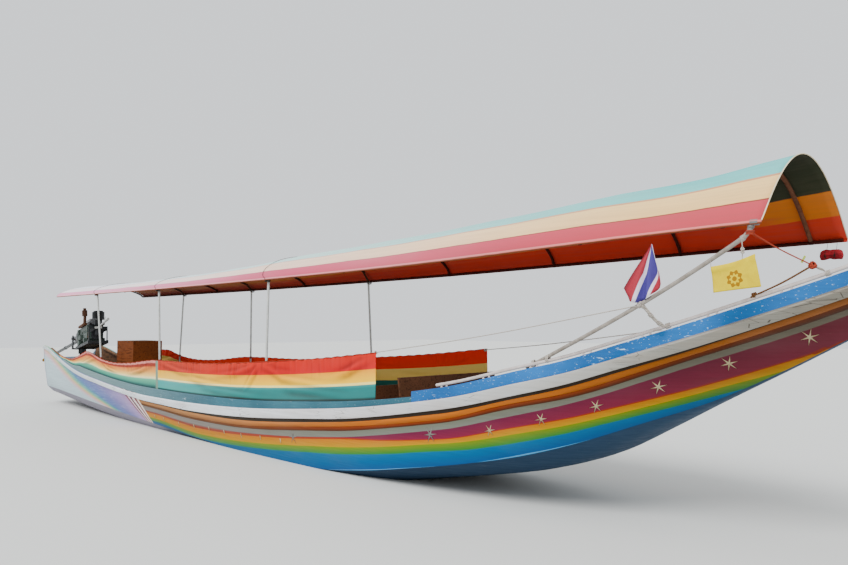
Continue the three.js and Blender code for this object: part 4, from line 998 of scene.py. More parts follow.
rail = {"from": 11.18, "to": 15.65, "step": 0.15, "lift": 0.027, "radius": 0.0135, "stub": 0.007, "first": 11.24,
        "pitch": 0.47, "pair": 0.06, "stubGap": 0.001, "collar": (0.012, 0.009, 0.005), "collarLift": 0.003}
strut = {"foot": 12.1, "meetsRail": 12.24, "top": 14.02, "footDrop": 0.014, "topDrop": 0.064, "sagAt": 13.15, "sag": 0.045,
         "radius": 0.015, "besideRail": 0.028, "besideEnds": (12.15, 12.6), "end": 14.0, "endDrop": 0.055,
         "stations": (12.11, 12.2, 12.35, 12.5, 12.7, 12.9, 13.1, 13.3, 13.5, 13.7, 13.85, 13.96)}
fitting = {"pipeEnd": 14.03, "coupling": (0.021, 0.021, 0.05), "flattened": (0.019, 0.015, 0.055), "flattenedDrop": 0.036,
           "bolt": 0.022, "boltAt": (14.005, 0.002, -0.024)}


def railPoint(x, side):
    y = sheerOut(x) - coaming["setIn"] - coaming["thick"] / 2
    return Vector((x, side * y, sheerAt(x) + coaming["boardHeight"] + rail["lift"]))


def strutPoint(x):
    # a tube that sags a little between the rail and the eave pipe, on the starboard side only
    foot, lowest, top = strut["foot"], strut["sagAt"], strut["top"]
    low, high = railPoint(foot, -1).z - strut["footDrop"], eaveAt(top) - strut["topDrop"]
    away = (lowest - x) / (lowest - foot) if x < lowest else (x - lowest) / (top - lowest)
    z = low + (high - low) / (top - foot) * (x - foot) - strut["sag"] * (1 - away ** 2)
    meets = -railPoint(strut["meetsRail"], -1).y
    y = meets + (roof["pipeY"] - meets) * (x - strut["meetsRail"]) / (top - strut["meetsRail"])
    return Vector((x, -y + strut["besideRail"] * (1 - blendAt(x, *strut["besideEnds"])), z))


def makeHandrail(label, side):
    bm = bmesh.new()
    drawTube(bm, [railPoint(x, side) for x in stepsFrom(rail["from"], rail["to"], rail["step"])], rail["radius"], 12)
    x = rail["first"]
    while x + rail["pair"] < rail["to"]:
        for stubX in (x, x + rail["pair"]):
            top = railPoint(stubX, side)
            low = top - Vector((0, 0, rail["lift"] - rail["stubGap"]))
            drawTube(bm, [low, top], rail["stub"], 8)
            addCone(bm, *rail["collar"], low + Vector((0, 0, rail["collarLift"])), 10)
        x += rail["pitch"]
    addPiece("handrail" + label.title(), bm, [whitePipe], ["handrail_" + label], sharp=50)


def makeStrut():
    bm = bmesh.new()
    end = Vector((strut["end"], -roof["pipeY"], eaveAt(strut["end"]) - strut["endDrop"]))
    drawTube(bm, [strutPoint(x) for x in strut["stations"]] + [end], strut["radius"], 14)
    paint = makeMetal("strutPipePaint", "#a59d94", "#857c72", (0.35, 0.6), 0.2, "#6a5442", 0.60, 16)
    addPiece("strutStarboard", bm, [paint], ["strut_starboard"], sharp=50)


def makeCornerFitting():
    # coupling on the end of the eave pipe, the flattened end of the strut and its bolt
    bm = bmesh.new()
    end = pipePoint(fitting["pipeEnd"], -1)
    addCone(bm, *fitting["coupling"], end, 18, Matrix.Rotation(math.pi / 2, 4, "Y"))
    addCone(bm, *fitting["flattened"], (strut["end"], end.y, end.z - fitting["flattenedDrop"]), 16)
    x, aside, above = fitting["boltAt"]
    bmesh.ops.create_icosphere(bm, subdivisions=2, radius=fitting["bolt"],
                               matrix=Matrix.Translation((x, end.y + aside, end.z + above)))
    paint = makeMetal("fittingGrey", "#8b8a88", "#6c6a68", (0.4, 0.6), 0.4, "#5b4636", 0.6)
    addPiece("cornerFitting", bm, [paint], sharp=40)


whitePipe = makeMetal("whitePipePaint", "#cfc6c2", "#b2a8a4", (0.35, 0.55), 0.0, "#8a7a68", 0.70, 14)
for label, side in sides:
    makeHandrail(label, side)
makeStrut()
makeCornerFitting()
print("rails and strut made")

# side cloths, tied at the legs and tucked inside the coaming

curtainStripes = (0, .33, .345, .60, .62, .66, .67, .73, .93, .965, 1)
curtain = {
    "rows": [(1.04, .974), (1.27, .936), (1.58, .908), (1.85, .917), (2.12, .961), (2.38, 1.013), (2.65, 1.067), (2.88, 1.055),
             (3.09, 1.009), (3.32, .967), (3.55, .942), (3.99, .924), (4.39, .935), (5.39, 1.014), (6.9, 1.028), (8.35, 1.100),
             (9.5, 1.18), (10.35, 1.26)],
    "tuck": 0.012, "thick": 0.0025, "partsDown": 26, "tuckParts": [1.25, 1.6, 2.0], "lastPart": 1.2, "step": 0.02,
    "clear": 0.0012, "rimEnds": (1.2, 1.35), "out": 0.003, "ties": [1.06, 3.25, 5.5, 8.3, 10.33], "tieWidth": 0.12,
    "gatherPitch": 0.075, "gather": 0.007, "slack": 0.012, "inward": 0.010, "scallop": (0.004, 0.17), "usualDrop": 0.42,
    "creaseWidth": 0.026, "creaseRise": 0.024, "creaseEnds": 0.15, "valleyAway": 0.045, "valleyWidth": 0.026,
    "creases": [((8.26, .02), (7.77, .27), (6.9, .42)), ((8.26, .02), (8.74, .42), (9.4, .61), (9.95, .69)),
                ((8.26, .02), (8.6, .27), (9.05, .39)), ((5.52, .02), (6.2, .30), (7.17, .40)),
                ((8.7, .68), (9.4, .78), (10.0, .93)), ((6.78, .72), (7.77, .86), (8.74, .97)), ((6.4, .50), (7.9, .74)),
                ((8.26, .02), (8.05, .5), (7.9, .85)), ((10.33, .05), (9.9, .35), (9.5, .5)),
                ((5.52, .02), (4.9, .35), (4.3, .55)), ((3.25, 0), (3.6, .4), (4.1, .6)), ((3.25, 0), (2.7, .5), (2.2, .8))],
    # the stops darken to the foot, from .86 aft and from .93 in the middle and forward sets: painted shadow under the
    # cloth's lower edge, where it tucks behind the coaming
    "aft": ((0, .09, .10, .20, .23, .40, .56, .62, .66, .69, .86, .93, 1),
            "e49a90 dc7c74 8c2c20 a83c26 e07c3c eaa048 f6d078 f4e0a4 cfdcae 5cb08e 3c8c78 2a5c58 1c3c3c"),
    "seam": ((0, 1), "7f9a86 6d8676"), "seamAt": (5.44, 5.52), "seamBlend": 0.005, "brightFrom": (6.0, 8.6),
    "middle": (curtainStripes, "c23e2a c42e1c f4b228 f8c440 ffe9a0 ffe9a0 62ae9c 389997 3f9a92 1c4a4a 173c3c"),
    "forward": (curtainStripes, "cc2010 c80410 f8a008 ffc810 ffe784 ffe784 2a8a88 0c7472 0e6e6c 123c3c 102e2e"),
    # the inside stops are the same stripes painted brighter than the outside's: painted light on the far cloth under
    # the roof
    "inside": ((0, .345, .35, .66, .67, 1), "ff3014 ff3a14 ffe078 ffd868 17675c 0f4a44"),
}
curtainTop = curveThrough(curtain["rows"])
curtainFrom, curtainTo = curtain["rows"][0][0], curtain["rows"][-1][0]


def creaseAt(x, part):
    # height of the ridges pulled from tie to tie, and the shade of the valley beside them
    place = Vector((x, part * curtain["usualDrop"]))
    rise = shade = 0.0
    for line in curtain["creases"]:
        if not min(p[0] for p in line) - curtain["creaseEnds"] < x < max(p[0] for p in line) + curtain["creaseEnds"]:
            continue
        knots = [Vector((at, down * curtain["usualDrop"])) for at, down in line]
        away, along = 9.0, 0.0
        for k, (a, b) in enumerate(zip(knots, knots[1:])):
            t = max(0.0, min(1.0, (place - a).dot(b - a) / (b - a).length_squared))
            if (place - a.lerp(b, t)).length < away:
                away, along = (place - a.lerp(b, t)).length, (k + t) / (len(line) - 1)
        strength = min(1.0, 5 * along) * min(1.0, 2.2 * (1 - along)) * (0.75 + 0.5 * noise.noise(place.to_3d() * 3))
        below = 1.0 if place.y > curtain["usualDrop"] * 0.05 else 0.0
        rise = max(rise, strength * math.exp(-(away / curtain["creaseWidth"]) ** 2))
        shade = max(shade, below * strength * math.exp(-((away - curtain["valleyAway"]) / curtain["valleyWidth"]) ** 2))
    return rise, shade * (1 - rise)


def curtainPoint(x, part, side):
    # part runs from 0 at the hem down to 1 where the cloth goes behind the coaming, and past it to the tuck
    rim, top = sheerAt(x) + coamingHeight(x) * blendAt(x, *curtain["rimEnds"]), curtainTop(x)
    low = coamingInside(x) - curtain["clear"]
    topY = low + (legTop - legFoot(x)) / (eaveAt(x) - sheerAt(x)) * (top - rim)
    rise = shade = hang = 0.0
    if part <= 1:
        z = top + (rim - top) * part
        y = topY + (low - topY) * part + curtain["out"]
    else:
        z = rim + (sheerAt(x) + curtain["tuck"] - rim) * (part - 1)
        y = low
    if part < 1:
        rise, shade = creaseAt(x, part)
        hang = math.sin(math.pi * part) ** 0.7
    nearTie = min(abs(x - tie) for tie in curtain["ties"])
    phase = x / curtain["gatherPitch"] + 1.5 * noise.noise(Vector((x * 2.2, 0, side)))
    uneven = 0.35 + 1.1 * max(0.0, 0.5 + noise.noise(Vector((x * 1.9, 3.0, side))))
    pleat = 1.6 * noise.noise(Vector((x * 14.0, part * 1.2, side))) + 0.9 * noise.noise(Vector((x * 31.0, part * 1.5, 5.0)))
    gather = (0.25 * math.sin(2 * math.pi * phase) + pleat) * uneven * (1 - blendAt(part, 0.05, 0.25 + 0.35 * uneven))
    slack = curtain["slack"] * noise.noise(Vector((x * 1.6, part * 2.0, 7.0 + side)))
    damp = 1 - math.exp(-(nearTie / curtain["tieWidth"]) ** 2)
    y += damp * (curtain["gather"] * gather + hang * (curtain["creaseRise"] * rise - slack - curtain["inward"]))
    if part < 1:
        height, pitch = curtain["scallop"]
        z += height * math.sin(2 * math.pi * x / pitch) * (1 - blendAt(part, 0, 0.2)) * blendAt(nearTie, 0, 0.3)
    # the second value is painted shade: the valleys beside the creases, and the hollows between the pleats
    return Vector((x, side * y, z)), min(1.0, shade + 0.5 * max(0.0, -gather))


def makeCurtainFinishes():
    aft, seam, middle, forward, inside = [stopsOf(curtain[name], curtain["lastPart"])
                                          for name in ("aft", "seam", "middle", "forward", "inside")]
    later = [(at, at + curtain["seamBlend"], stops) for at, stops in zip(curtain["seamAt"], (seam, middle))]
    later.append((*curtain["brightFrom"], forward))
    return [makeClothFinish("curtainCloth", aft, "drop", 420, 0.7, 0.7, later, 0.14, 0.04, 0.12, "fold"),
            makeClothFinish("curtainInside", inside, "drop", 420, 0.7, stained=0.2)]


def makeCurtain(label, side):
    bm = bmesh.new()
    # the fold layer carries that painted shade into the cloth's finish
    layers = layersFor(bm, ("drop", "fold"))
    stations = stepsFrom(curtainFrom, curtainTo, curtain["step"])
    last = curtain["lastPart"]
    parts = [k / curtain["partsDown"] for k in range(curtain["partsDown"] + 1)] + curtain["tuckParts"]
    points = [[curtainPoint(x, part, side) for part in parts] for x in stations]
    grid = sweepRings(bm, [[place for place, _ in row] for row in points], False)
    writeLayers(grid, [[(min(part, last) / last, shade) for (_, shade), part in zip(row, parts)] for row in points], layers)
    area = sheetArea(bm)
    faceOutward(bm, 1, side)
    piece = addPiece("curtain" + label.title(), bm, curtainFinishes, ["side_cloth_" + label],
                     sharp=80, outward=False)
    giveThickness(piece, curtain["thick"], -1, 1)
    length = stations[-1] - stations[0]
    area / length


curtainFinishes = makeCurtainFinishes()
for label, side in sides:
    makeCurtain(label, side)
print("side cloths made")

# ropes, lashings and the cords over the roof

ropes = {
    "taut": [(10.31, -0.79, 1.262), (11.7, -0.782, 1.44), (13.17, -0.775, 1.672)],
    "crossing": [(10.33, 0.80, 1.25), (11.8, 0.05, 1.36), (13.30, -0.655, 1.50)], "line": 0.004, "lineKnot": 0.010,
    "bundle": [(13.19, -0.772, 1.70), (13.23, -0.745, 1.64), (13.27, -0.70, 1.57), (13.31, -0.65, 1.525)],
    "bundleShifts": [(0, 0, 0), (0.009, 0.004, 0.004), (-0.006, 0.006, -0.004)], "bundleRope": 0.005, "bundleFat": 0.012,
    "bundleWrap": (0.0028, 4, 0.007), "poleWrap": (0.004, 4, 0.009), "wrapAt": 13.19, "wrapAlong": (13.1, 13.3),
    "railWrapAt": 13.31, "footAt": (12.2, 12.34), "footFat": 0.026, "footWrap": (0.0032, 4, 0.0075), "footAcross": 0.7,
    "knot": (14.25, -0.44, 1.925), "railEnd": 14.33, "strands": (-0.012, 0.0, 0.012), "strand": 0.0035, "strandSag": 0.002,
    "strandWrap": (0.0035, 4, 0.008), "pair": (-0.006, 0.006),
    "corner": (14.0, -0.786, 2.13), "cornerLift": 0.002, "cornerFat": 0.021, "cornerWrap": (0.0042, 3, 0.010), "red": 0.0045,
    "redSag": -0.008, "redKnot": (0.016, 0.006),
    "brownEnd": (13.89, -0.486, 1.735), "brown": 0.005, "brownDrop": -0.004, "brownSag": -0.012, "brownWrap": (0.005, 3, 0.011),
    "cord": 0.0025, "backAtRidge": 0.3, "overSteps": 40, "overRoof": -0.0045, "atHem": (0.003, 0.028), "atPipe": (0.05, 0.012),
    "legWrapAt": (0.026, 0.014), "legFat": 0.027, "legWrap": (0.003, 4, 0.009),
    "hem": 0.004, "hemStep": 0.05, "hemShift": (0.001, 0.003), "hemLean": 0.02, "hemWrap": (0.0035, 4, 0.0085),
}
alongRail = (1, 0, 0.3)
whiteRope = makeRopeFinish("whiteRope", "#c4bcb2", "#7c7268")
redRope = makeRopeFinish("redRope", "#a64430", "#6c2418")
brownRope = makeRopeFinish("brownRope", "#7a5230", "#3f2a1a")
darkCord = makeRopeFinish("darkCord", "#3a302a", "#1c1713", 0.012)


def startRopes():
    bm = bmesh.new()
    return bm, layersFor(bm, ("along", "around"))


def drawRope(bm, layers, points, radius, perLeg, shifts=((0, 0, 0),) * 4, segments=8):
    # a flowing rope through a few points, each moved a little so that strands lie side by side
    drawTube(bm, smoothPath([Vector(p) + Vector(s) for p, s in zip(points, shifts)], perLeg), radius, segments, layers)


def drawKnot(bm, centre, size, cord, layers):
    # a few crossing loops of the same rope
    for k, axis in enumerate(((1, 0.3, 0.2), (0.1, 1, -0.4), (0.4, -0.2, 1))):
        place = Vector(centre) + Vector((0.002 * k, 0.001, -0.002 * k))
        wrapCord(bm, layers, (cord, 1.9, cord * 1.7), place, axis, size)


def makeBowRopes():
    bm, layers = startRopes()
    for line in ("taut", "crossing"):
        drawRope(bm, layers, ropes[line], ropes["line"], 8)
        drawKnot(bm, ropes[line][0], ropes["lineKnot"], ropes["line"], layers)
    bundle = [Vector(p) for p in ropes["bundle"]]
    for shift in ropes["bundleShifts"]:
        drawRope(bm, layers, bundle, ropes["bundleRope"], 5, [shift] * len(bundle))
    for a, b in zip(bundle, bundle[1:]):
        wrapCord(bm, layers, ropes["bundleWrap"], a.lerp(b, 0.5), b - a, ropes["bundleFat"])
    low, high = [strutPoint(x) for x in ropes["wrapAlong"]]
    wrapCord(bm, layers, ropes["poleWrap"], strutPoint(ropes["wrapAt"]), high - low, strut["radius"])
    wrapCord(bm, layers, ropes["poleWrap"], railPoint(ropes["railWrapAt"], -1), alongRail, rail["radius"])
    for x in ropes["footAt"]:     # the foot of the strut is tied to the rail
        middle = (strutPoint(x) + railPoint(x, -1)) / 2
        wrapCord(bm, layers, ropes["footWrap"], middle, alongRail, ropes["footFat"], ropes["footAcross"])
    railEnd, knot = railPoint(ropes["railEnd"], -1), Vector(ropes["knot"])
    for shift in ropes["strands"]:
        shifts = ((shift, 0, 0), (-shift, 0, ropes["strandSag"]), (shift, 0, 0))
        drawRope(bm, layers, [knot, knot.lerp(railEnd, 0.5), railEnd], ropes["strand"], 5, shifts, 6)
    wrapCord(bm, layers, ropes["strandWrap"], railEnd, alongRail, rail["radius"])
    addPiece("bowRopes", bm, [whiteRope], sharp=80)

    bm, layers = startRopes()
    corner = Vector(ropes["corner"])
    for shift in ropes["pair"]:
        shifts = ((shift, 0, 0), (0, 0, ropes["redSag"]), (0, 0, 0))
        drawRope(bm, layers, [corner, corner.lerp(knot, 0.5), knot], ropes["red"], 6, shifts)
    wrapCord(bm, layers, ropes["cornerWrap"], corner + Vector((0, 0, ropes["cornerLift"])), (0.1, 0, 1), ropes["cornerFat"])
    drawKnot(bm, knot, *ropes["redKnot"], layers)
    addPiece("redBowRope", bm, [redRope], sharp=80)

    bm, layers = startRopes()
    low = Vector(ropes["brownEnd"])
    for shift in ropes["pair"]:
        shifts = ((0, shift, ropes["brownDrop"]), (0, shift, ropes["brownSag"]), (0, shift, 0))
        drawRope(bm, layers, [knot, knot.lerp(low, 0.5), low], ropes["brown"], 6, shifts)
    wrapCord(bm, layers, ropes["brownWrap"], low, alongRail, rail["radius"])
    addPiece("brownBowRope", bm, [brownRope], sharp=80)


def makeRoofCords():
    # thin cords thrown over the roof and tied to the legs, and the wraps where legs and eave pipes meet
    bm, layers = startRopes()
    steps = ropes["overSteps"]
    for x in roof["legged"]:
        path = []
        for k in range(steps + 1):
            turn = -1 + 2 * k / steps
            at = x - ropes["backAtRidge"] * (1 - turn * turn)
            path.append((at, *roofPoint(at, turn, ropes["overRoof"])))
        drawTube(bm, path, ropes["cord"], 6, layers)
        for side, end in ((-1, path[0]), (1, path[-1])):
            (out, down), (pipeDown, inward), (wrapDown, wrapIn) = [ropes[name] for name in ("atHem", "atPipe", "legWrapAt")]
            tied = pipePoint(x, side, pipeDown) - Vector((0, side * inward, 0))
            drawTube(bm, [end, (x, side * (roof["half"] + out), eaveAt(x) - down), tied], ropes["cord"], 6, layers)
            wrapped = pipePoint(x, side, wrapDown) - Vector((0, side * wrapIn, 0))
            wrapCord(bm, layers, ropes["legWrap"], wrapped, (0.2, 0, 1), ropes["legFat"])
    addPiece("roofCords", bm, [darkCord], sharp=80)


def makeHemRopes(label, side):
    # the rope that the side cloth hangs from, tied to each leg
    bm, layers = startRopes()
    out, up = ropes["hemShift"]
    stations = stepsFrom(curtainFrom, curtainTo, ropes["hemStep"])
    path = [curtainPoint(x, 0.0, side)[0] + Vector((0, side * out, up)) for x in stations]
    drawTube(bm, path, ropes["hem"], 8, layers)
    for x in roof["legged"]:
        z = curtainPoint(x, 0.0, side)[0].z
        t = (z - sheerAt(x)) / (eaveAt(x) - legs["below"] - sheerAt(x))
        forward = legs["forward"] * (1 - t) if side > 0 else 0
        leg = Vector((x + forward, side * (legFoot(x) + (legTop - legFoot(x)) * t), z))
        wrapCord(bm, layers, ropes["hemWrap"], leg, (0, ropes["hemLean"] * side, 1), roof["pipe"])
    addPiece("hemRope" + label.title(), bm, [redRope], sharp=80)


rolled = {
    "from": 13.89, "length": 0.175, "y": 0.752, "z": 2.075, "arch": 0.012, "fat": 0.036, "least": 0.004, "flat": 0.8,
    "waist": (0.08, 0.45, 0.07), "steps": 16, "sides": 20, "wobble": 0.14, "ties": (13.94, 14.01), "tieAt": (0.754, 2.084),
    "tie": (0.0025, 1.5, 0.006), "tieFat": 0.034, "hangsFrom": (0.762, 2.113), "hangsBelow": 0.03, "string": 0.0015,
}
tag = {"place": (14.2, -0.45, 1.965), "turn": 0.5, "size": (0.014, 0.004, 0.05, 1), "roundness": 0.0015}


def makeRolledCloth():
    # a small red cloth rolled up and hung from the far eave
    bm = bmesh.new()
    deep, middle, wide = rolled["waist"]
    rings = []
    for k in range(rolled["steps"] + 1):
        t = k / rolled["steps"]
        waist = 1 - deep * math.exp(-((t - middle) / wide) ** 2)
        fat = rolled["fat"] * (1 - (2 * t - 1) ** 8) ** 0.5 * waist + rolled["least"]
        height = rolled["z"] + rolled["arch"] * math.sin(math.pi * t)
        centre = Vector((rolled["from"] + rolled["length"] * t, rolled["y"], height))
        ring = []
        for j in range(rolled["sides"]):
            angle = 2 * math.pi * j / rolled["sides"]
            out, up = math.cos(angle), math.sin(angle)
            wobble = 1 + rolled["wobble"] * noise.noise(Vector((t * 4, out * 1.4, up * 1.4)))
            ring.append(centre + Vector((0, out * fat * rolled["flat"], up * fat)) * wobble)
        rings.append(ring)
    sweepRings(bm, rings)
    startMaterial("rolledClothFinish", 0.8)
    wrinkle = grain((1, 3, 3), 16, 4, 0.6, 0.5)
    cloth = finishPaint(mix(wrinkle.stretch(0.3, 0.7), "#a4242c", "#5c161c"), None, wrinkle, 0.006, 0.7)
    addPiece("rolledCloth", bm, [cloth], sharp=80)
    bm, layers = startRopes()
    for x in rolled["ties"]:
        wrapCord(bm, layers, rolled["tie"], (x, *rolled["tieAt"]), (1, 0, 0), rolled["tieFat"])
        top = (x, roof["pipeY"], eaveAt(x) - rolled["hangsBelow"])
        drawTube(bm, [(x, *rolled["hangsFrom"]), top], rolled["string"], 6, layers)
    addPiece("rolledClothTies", bm, [darkCord], sharp=80)


def makeTag():
    bm = bmesh.new()
    place = Matrix.Translation(tag["place"]) @ Matrix.Rotation(tag["turn"], 4, "Y") @ Matrix.Diagonal(tag["size"])
    bmesh.ops.create_cube(bm, size=1, matrix=place)
    bmesh.ops.bevel(bm, geom=list(bm.edges), offset=tag["roundness"], segments=2, profile=0.5, affect="EDGES", material=-1)
    addPiece("ropeTag", bm, [makeMetal("tagGreen", "#b8c860", "#9cae48", (0.6, 0.8))], sharp=40)


makeBowRopes()
makeRoofCords()
for label, side in sides:
    makeHemRopes(label, side)
makeRolledCloth()
makeTag()
print("ropes tied")

# ornaments on the side

ornaments = {
    "stars": [(11.731, .339), (12.23, .32), (12.698, .306), (13.148, .276), (13.619, .24), (14.134, .221)],
    "darkStars": [(8.946, .30), (11.065, .304)], "reach": (0.056, 0.0105), "bigger": 1.5,
    "ticks": [(5.314, .283), (5.616, .299), (6.106, .309), (6.572, .304), (7.004, .303), (7.405, .316), (7.828, .333),
              (8.267, .336), (8.689, .354)],
    "tick": [(-0.010, -0.024), (0.006, -0.024), (0.010, 0.024), (-0.006, 0.024)], "proud": 0.0022, "thick": 0.0018,
}


def makeOrnaments(label, side):
    # six-armed stars and short ticks, laid on the planking
    bm = bmesh.new()

    def lay(shape, places, index):
        for x, drop in places:
            rim = []
            for along, down in shape + [(0, 0)]:
                y, z = sidePoint(x + along, drop + down, ornaments["proud"])
                rim.append(bm.verts.new((x + along, side * y, z)))
            hub = rim.pop()
            for a, b in zip(rim, rim[1:] + rim[:1]):
                bm.faces.new((hub, a, b) if side < 0 else (hub, b, a)).material_index = index

    for kind, (places, size) in enumerate(((ornaments["stars"], 1.0), (ornaments["darkStars"], ornaments["bigger"]))):
        spokes = [(math.pi * k / 6, size * ornaments["reach"][k % 2]) for k in range(12)]
        lay([(r * math.cos(a), -r * math.sin(a)) for a, r in spokes], places, kind)
    lay(ornaments["tick"], ornaments["ticks"], 0)
    faceOutward(bm, 1, side)
    piece = addPiece("ornaments" + label.title(), bm, [creamPaint, silverPaint], sharp=50, outward=False)
    giveThickness(piece, ornaments["thick"], -1)


creamPaint = makeMetal("creamOrnament", "#b9ae8a", "#8a7a58", (0.5, 0.7), 0.0, "#6a5038", 0.58, 22)
silverPaint = makeMetal("silverOrnament", "#5c5650", "#8c8a86", (0.4, 0.6), 0.2, "#2c2622", 0.56, 22)
for label, side in sides:
    makeOrnaments(label, side)
print("ornaments laid")

# flags

flags = {
    "thick": 0.002, "rows": 18, "columns": 22,
    "left": [(13.302, 2.113), (13.20, 1.985), (13.066, 1.804)], "right": [(13.302, 2.113), (13.35, 1.95), (13.374, 1.822)],
    "y": -0.785, "bag": 0.115, "fan": 0.026, "sway": 0.006, "slantFrom": 0.62, "slant": 0.9, "across": 1.2, "stripePart": 0.82,
    "wide": 0.42, "fullPart": 0.62, "from": 0.02,
    "stripes": ((0.0, 0.05, 0.295, 0.305, 0.375, 0.385, 0.745, 0.755, 0.83, 0.84, 1.2),
                "6e2630 a83240 a83240 f0e4f4 f0e4f4 4a3f8c 4a3f8c f0e4f4 f0e4f4 b03444 a83240"),
    "yellow": [(13.734, 1.924), (14.028, 1.991), (14.061, 1.780), (13.747, 1.750)], "yellowY": -0.786,
    "droop": 0.012, "fold": (0.007, 0.14, 0.09), "wave": 0.005, "gathered": 1.02,
    "rosette": (0.150, 0.105, 0.055), "petal": 0.006, "petals": 8.0, "ring": 0.55, "centre": 0.28,
    "hangsAt": 13.95, "topPart": 0.72, "topDrop": -0.008, "topOut": -0.016, "string": 0.003, "knots": (2.03, 2.01),
    "knotOut": 0.002, "knot": (0.006, 0.0035), "wrapAlong": (13.9, 14.0), "wrap": (0.003, 3, 0.008),
    "aftString": 0.0022, "aftTie": 13.735, "aftDrop": -0.006, "aftShift": (0, -0.012, -0.012),
}
stripedCloth = makeClothFinish("stripedFlagCloth", stopsOf(flags["stripes"], flags["across"]), "across", 500, 0.7, stained=0.15)


def makeYellowCloth():
    # plain yellow with a rosette of petals, drawn on the cloth's own measure
    startMaterial("yellowFlagCloth", 0.7)
    u, v, size = flags["rosette"]
    away, down = fromAttribute("across") - u, fromAttribute("down") - v
    reach = calc("SQRT", away * away + down * down)
    petals = calc("COSINE", calc("ARCTAN2", down, away) * flags["petals"]) * flags["petal"]
    outer = (reach + petals) < (size - flags["petal"])
    inner = (reach - petals) > (size * flags["ring"])
    mark = calc("MAXIMUM", outer * inner, reach < size * flags["centre"])
    wrinkle = grain(even, 14, 4, 0.6, 0.5)
    base = mix(wrinkle.stretch(0.3, 0.7), "#d0b400", "#e0c800")
    return finishPaint(mix(mark * 0.85, base, "#8c5408"), None, wrinkle, 0.004, 0.5)


yellowCloth = makeYellowCloth()


def alongLine(points, s):
    k, t = (0, s * 2) if s <= 0.5 else (1, s * 2 - 1)
    return [p + (q - p) * t for p, q in zip(points[k], points[k + 1])]


def startFlag(layerNames, pointAt):
    # pointAt gives a place on the flag, and its numbers for the layers
    bm = bmesh.new()
    layers = layersFor(bm, layerNames)
    rows, columns = flags["rows"], flags["columns"]
    points = [[pointAt(k / columns, i / rows) for k in range(columns + 1)] for i in range(rows + 1)]
    grid = sweepRings(bm, [[place for place, _ in row] for row in points], False)
    writeLayers(grid, [[numbers for _, numbers in row] for row in points], layers)
    return bm, sheetArea(bm)


def finishFlag(name, bm, cloth, replaced, flat):
    piece = addPiece(name, bm, cloth, [replaced], sharp=80)
    giveThickness(piece, flags["thick"], 0)


def stripedPoint(t, down):
    # hangs by one corner and opens out in folds
    s = flags["from"] + (1 - flags["from"]) * down
    left, right = alongLine(flags["left"], s), alongLine(flags["right"], s)
    sway = flags["fan"] * math.sin(5 * math.pi * t + 0.6) * s ** 0.7 + flags["sway"] * math.sin(6 * s + 3 * t)
    bag = flags["bag"] * s * s * s * math.sin(math.pi * t ** 0.7)
    place = (left[0] + (right[0] - left[0]) * t, flags["y"] + sway, left[1] + (right[1] - left[1]) * t - bag)
    stripe = flags["stripePart"] * t + max(0.0, s - flags["slantFrom"]) * flags["slant"] * t
    return place, (stripe / flags["across"],)


def makeStripedFlag():
    bm, area = startFlag(("across",), stripedPoint)
    wide = flags["wide"]
    finishFlag("stripedFlag", bm, [stripedCloth], "tricolour_flag",
               (wide, area / wide / flags["fullPart"]))


def makeYellowFlag():
    a, b, c, d = [Vector((x, flags["yellowY"], z)) for x, z in flags["yellow"]]
    wide, high = (b - a).length, (d - a).length
    rise, foldAt, foldWidth = flags["fold"]

    def yellowPoint(t, s):
        droop = -flags["droop"] * math.sin(math.pi * t) * (1 - s)
        fold = rise * math.exp(-((s - foldAt) / foldWidth) ** 2) * (0.6 + 0.4 * math.sin(7 * t))
        wave = flags["wave"] * math.sin(5 * t + 3 * s) * blendAt(s, 0, 0.4)
        return a.lerp(b, t).lerp(d.lerp(c, t), s) + Vector((0, wave - fold, droop)), (wide * t, high * s)

    bm, area = startFlag(("across", "down"), yellowPoint)
    finishFlag("yellowFlag", bm, [yellowCloth], "yellow_flag", (wide, area / wide * flags["gathered"]))
    bm, layers = startRopes()
    hangsAt = strutPoint(flags["hangsAt"])
    top = a.lerp(b, flags["topPart"]) + Vector((0, 0, flags["topDrop"]))
    drawTube(bm, [hangsAt + Vector((0, flags["topOut"], 0)), hangsAt.lerp(top, 0.5), top], flags["string"], 6, layers)
    for z in flags["knots"]:
        drawKnot(bm, (top.x, top.y - flags["knotOut"], z), *flags["knot"], layers)
    low, upper = [strutPoint(x) for x in flags["wrapAlong"]]
    wrapCord(bm, layers, flags["wrap"], hangsAt, upper - low, strut["radius"])
    aftTie = strutPoint(flags["aftTie"]) + Vector(flags["aftShift"])
    drawTube(bm, [a + Vector((0, 0, flags["aftDrop"])), aftTie], flags["aftString"], 6, layers)
    addPiece("flagString", bm, [whiteRope], sharp=80)


makeStripedFlag()
makeYellowFlag()
print("flags made")

# finishes of the carried-over nodes: what makes each finish, and the nodes that wear it

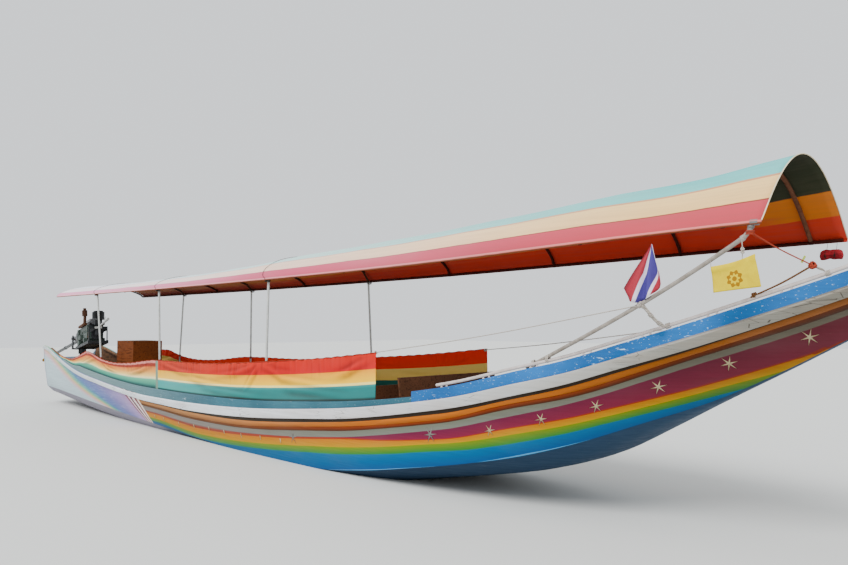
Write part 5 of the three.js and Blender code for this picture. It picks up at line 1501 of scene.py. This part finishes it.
timbers = {
    "ribTimber": (("#3a281b", "#664630", 8), "ribs_and_keelson_1 ribs_and_keelson_2"),
    "floorTimber": (("#4a3424", "#7d5c40", 9, 0.145), "floorboards_1 floorboards_2 floorboards_3"),
    "deckTimber": (("#4c3626", "#836146", 9, 0.16), "aft_deck foredeck"),
    "boxTimber": (("#54290f", "#85461e", 7), "driver_box"),
    "benchTimber": (("#3a2216", "#64402a", 8), "bench_1 bench_2 bench_3 bench_4 bench_5 bench_6"),
}
metals = {
    "darkSteel": (("#35383a", "#232526", (0.4, 0.65), 0.7, "#5b3a26", 0.60), "pivot_post yoke engine_cradle"),
    "shaftSteel": (("#3c4042", "#2b2e30", (0.35, 0.6), 0.8, "#6a4229", 0.62), "shaft_tube"),
    "engineIron": (("#43524a", "#313d38", (0.45, 0.7), 0.4, "#6b4a31", 0.60), "engine_block"),
    "castAlloy": (("#8e9092", "#6e7072", (0.35, 0.6), 0.8, "#55483a", 0.66), "cylinder_head bearing_housing"),
    "blackParts": (("#222426", "#2f3133", (0.4, 0.7), 0.5, "#4a3424", 0.66), "front_drive air_cleaner"),
    "rustyPipe": (("#6b4630", "#4b3022", (0.7, 0.95), 0.4, "#8a5a36", 0.55), "exhaust"),
    "bronze": (("#a47b3b", "#7d5c2c", (0.25, 0.45), 0.95, "#4f5a41", 0.64), "propeller"),
}


def dress(material, names):
    for name in names.split():
        mesh = cadNodes[name].data
        mesh.materials.clear()
        mesh.materials.append(material)


for make, table in ((makeTimber, timbers), (makeMetal, metals)):
    for name, (values, nodes) in table.items():
        dress(make(name, *values), nodes)
dress(paleTube, "tiller")
print("carried-over nodes dressed")

# floor at the waterline


def makeFloor():
    bm = bmesh.new()
    bmesh.ops.create_grid(bm, x_segments=1, y_segments=1, size=studio["floorSize"] / 2)
    mesh = bpy.data.meshes.new("studioFloor")
    bm.to_mesh(mesh)
    bm.free()
    startMaterial("studioFloor", 0.8)
    mesh.materials.append(finishPaint(studio["floorColour"]))
    floor = bpy.data.objects.new("studioFloor", mesh)
    bpy.context.scene.collection.objects.link(floor)


makeFloor()
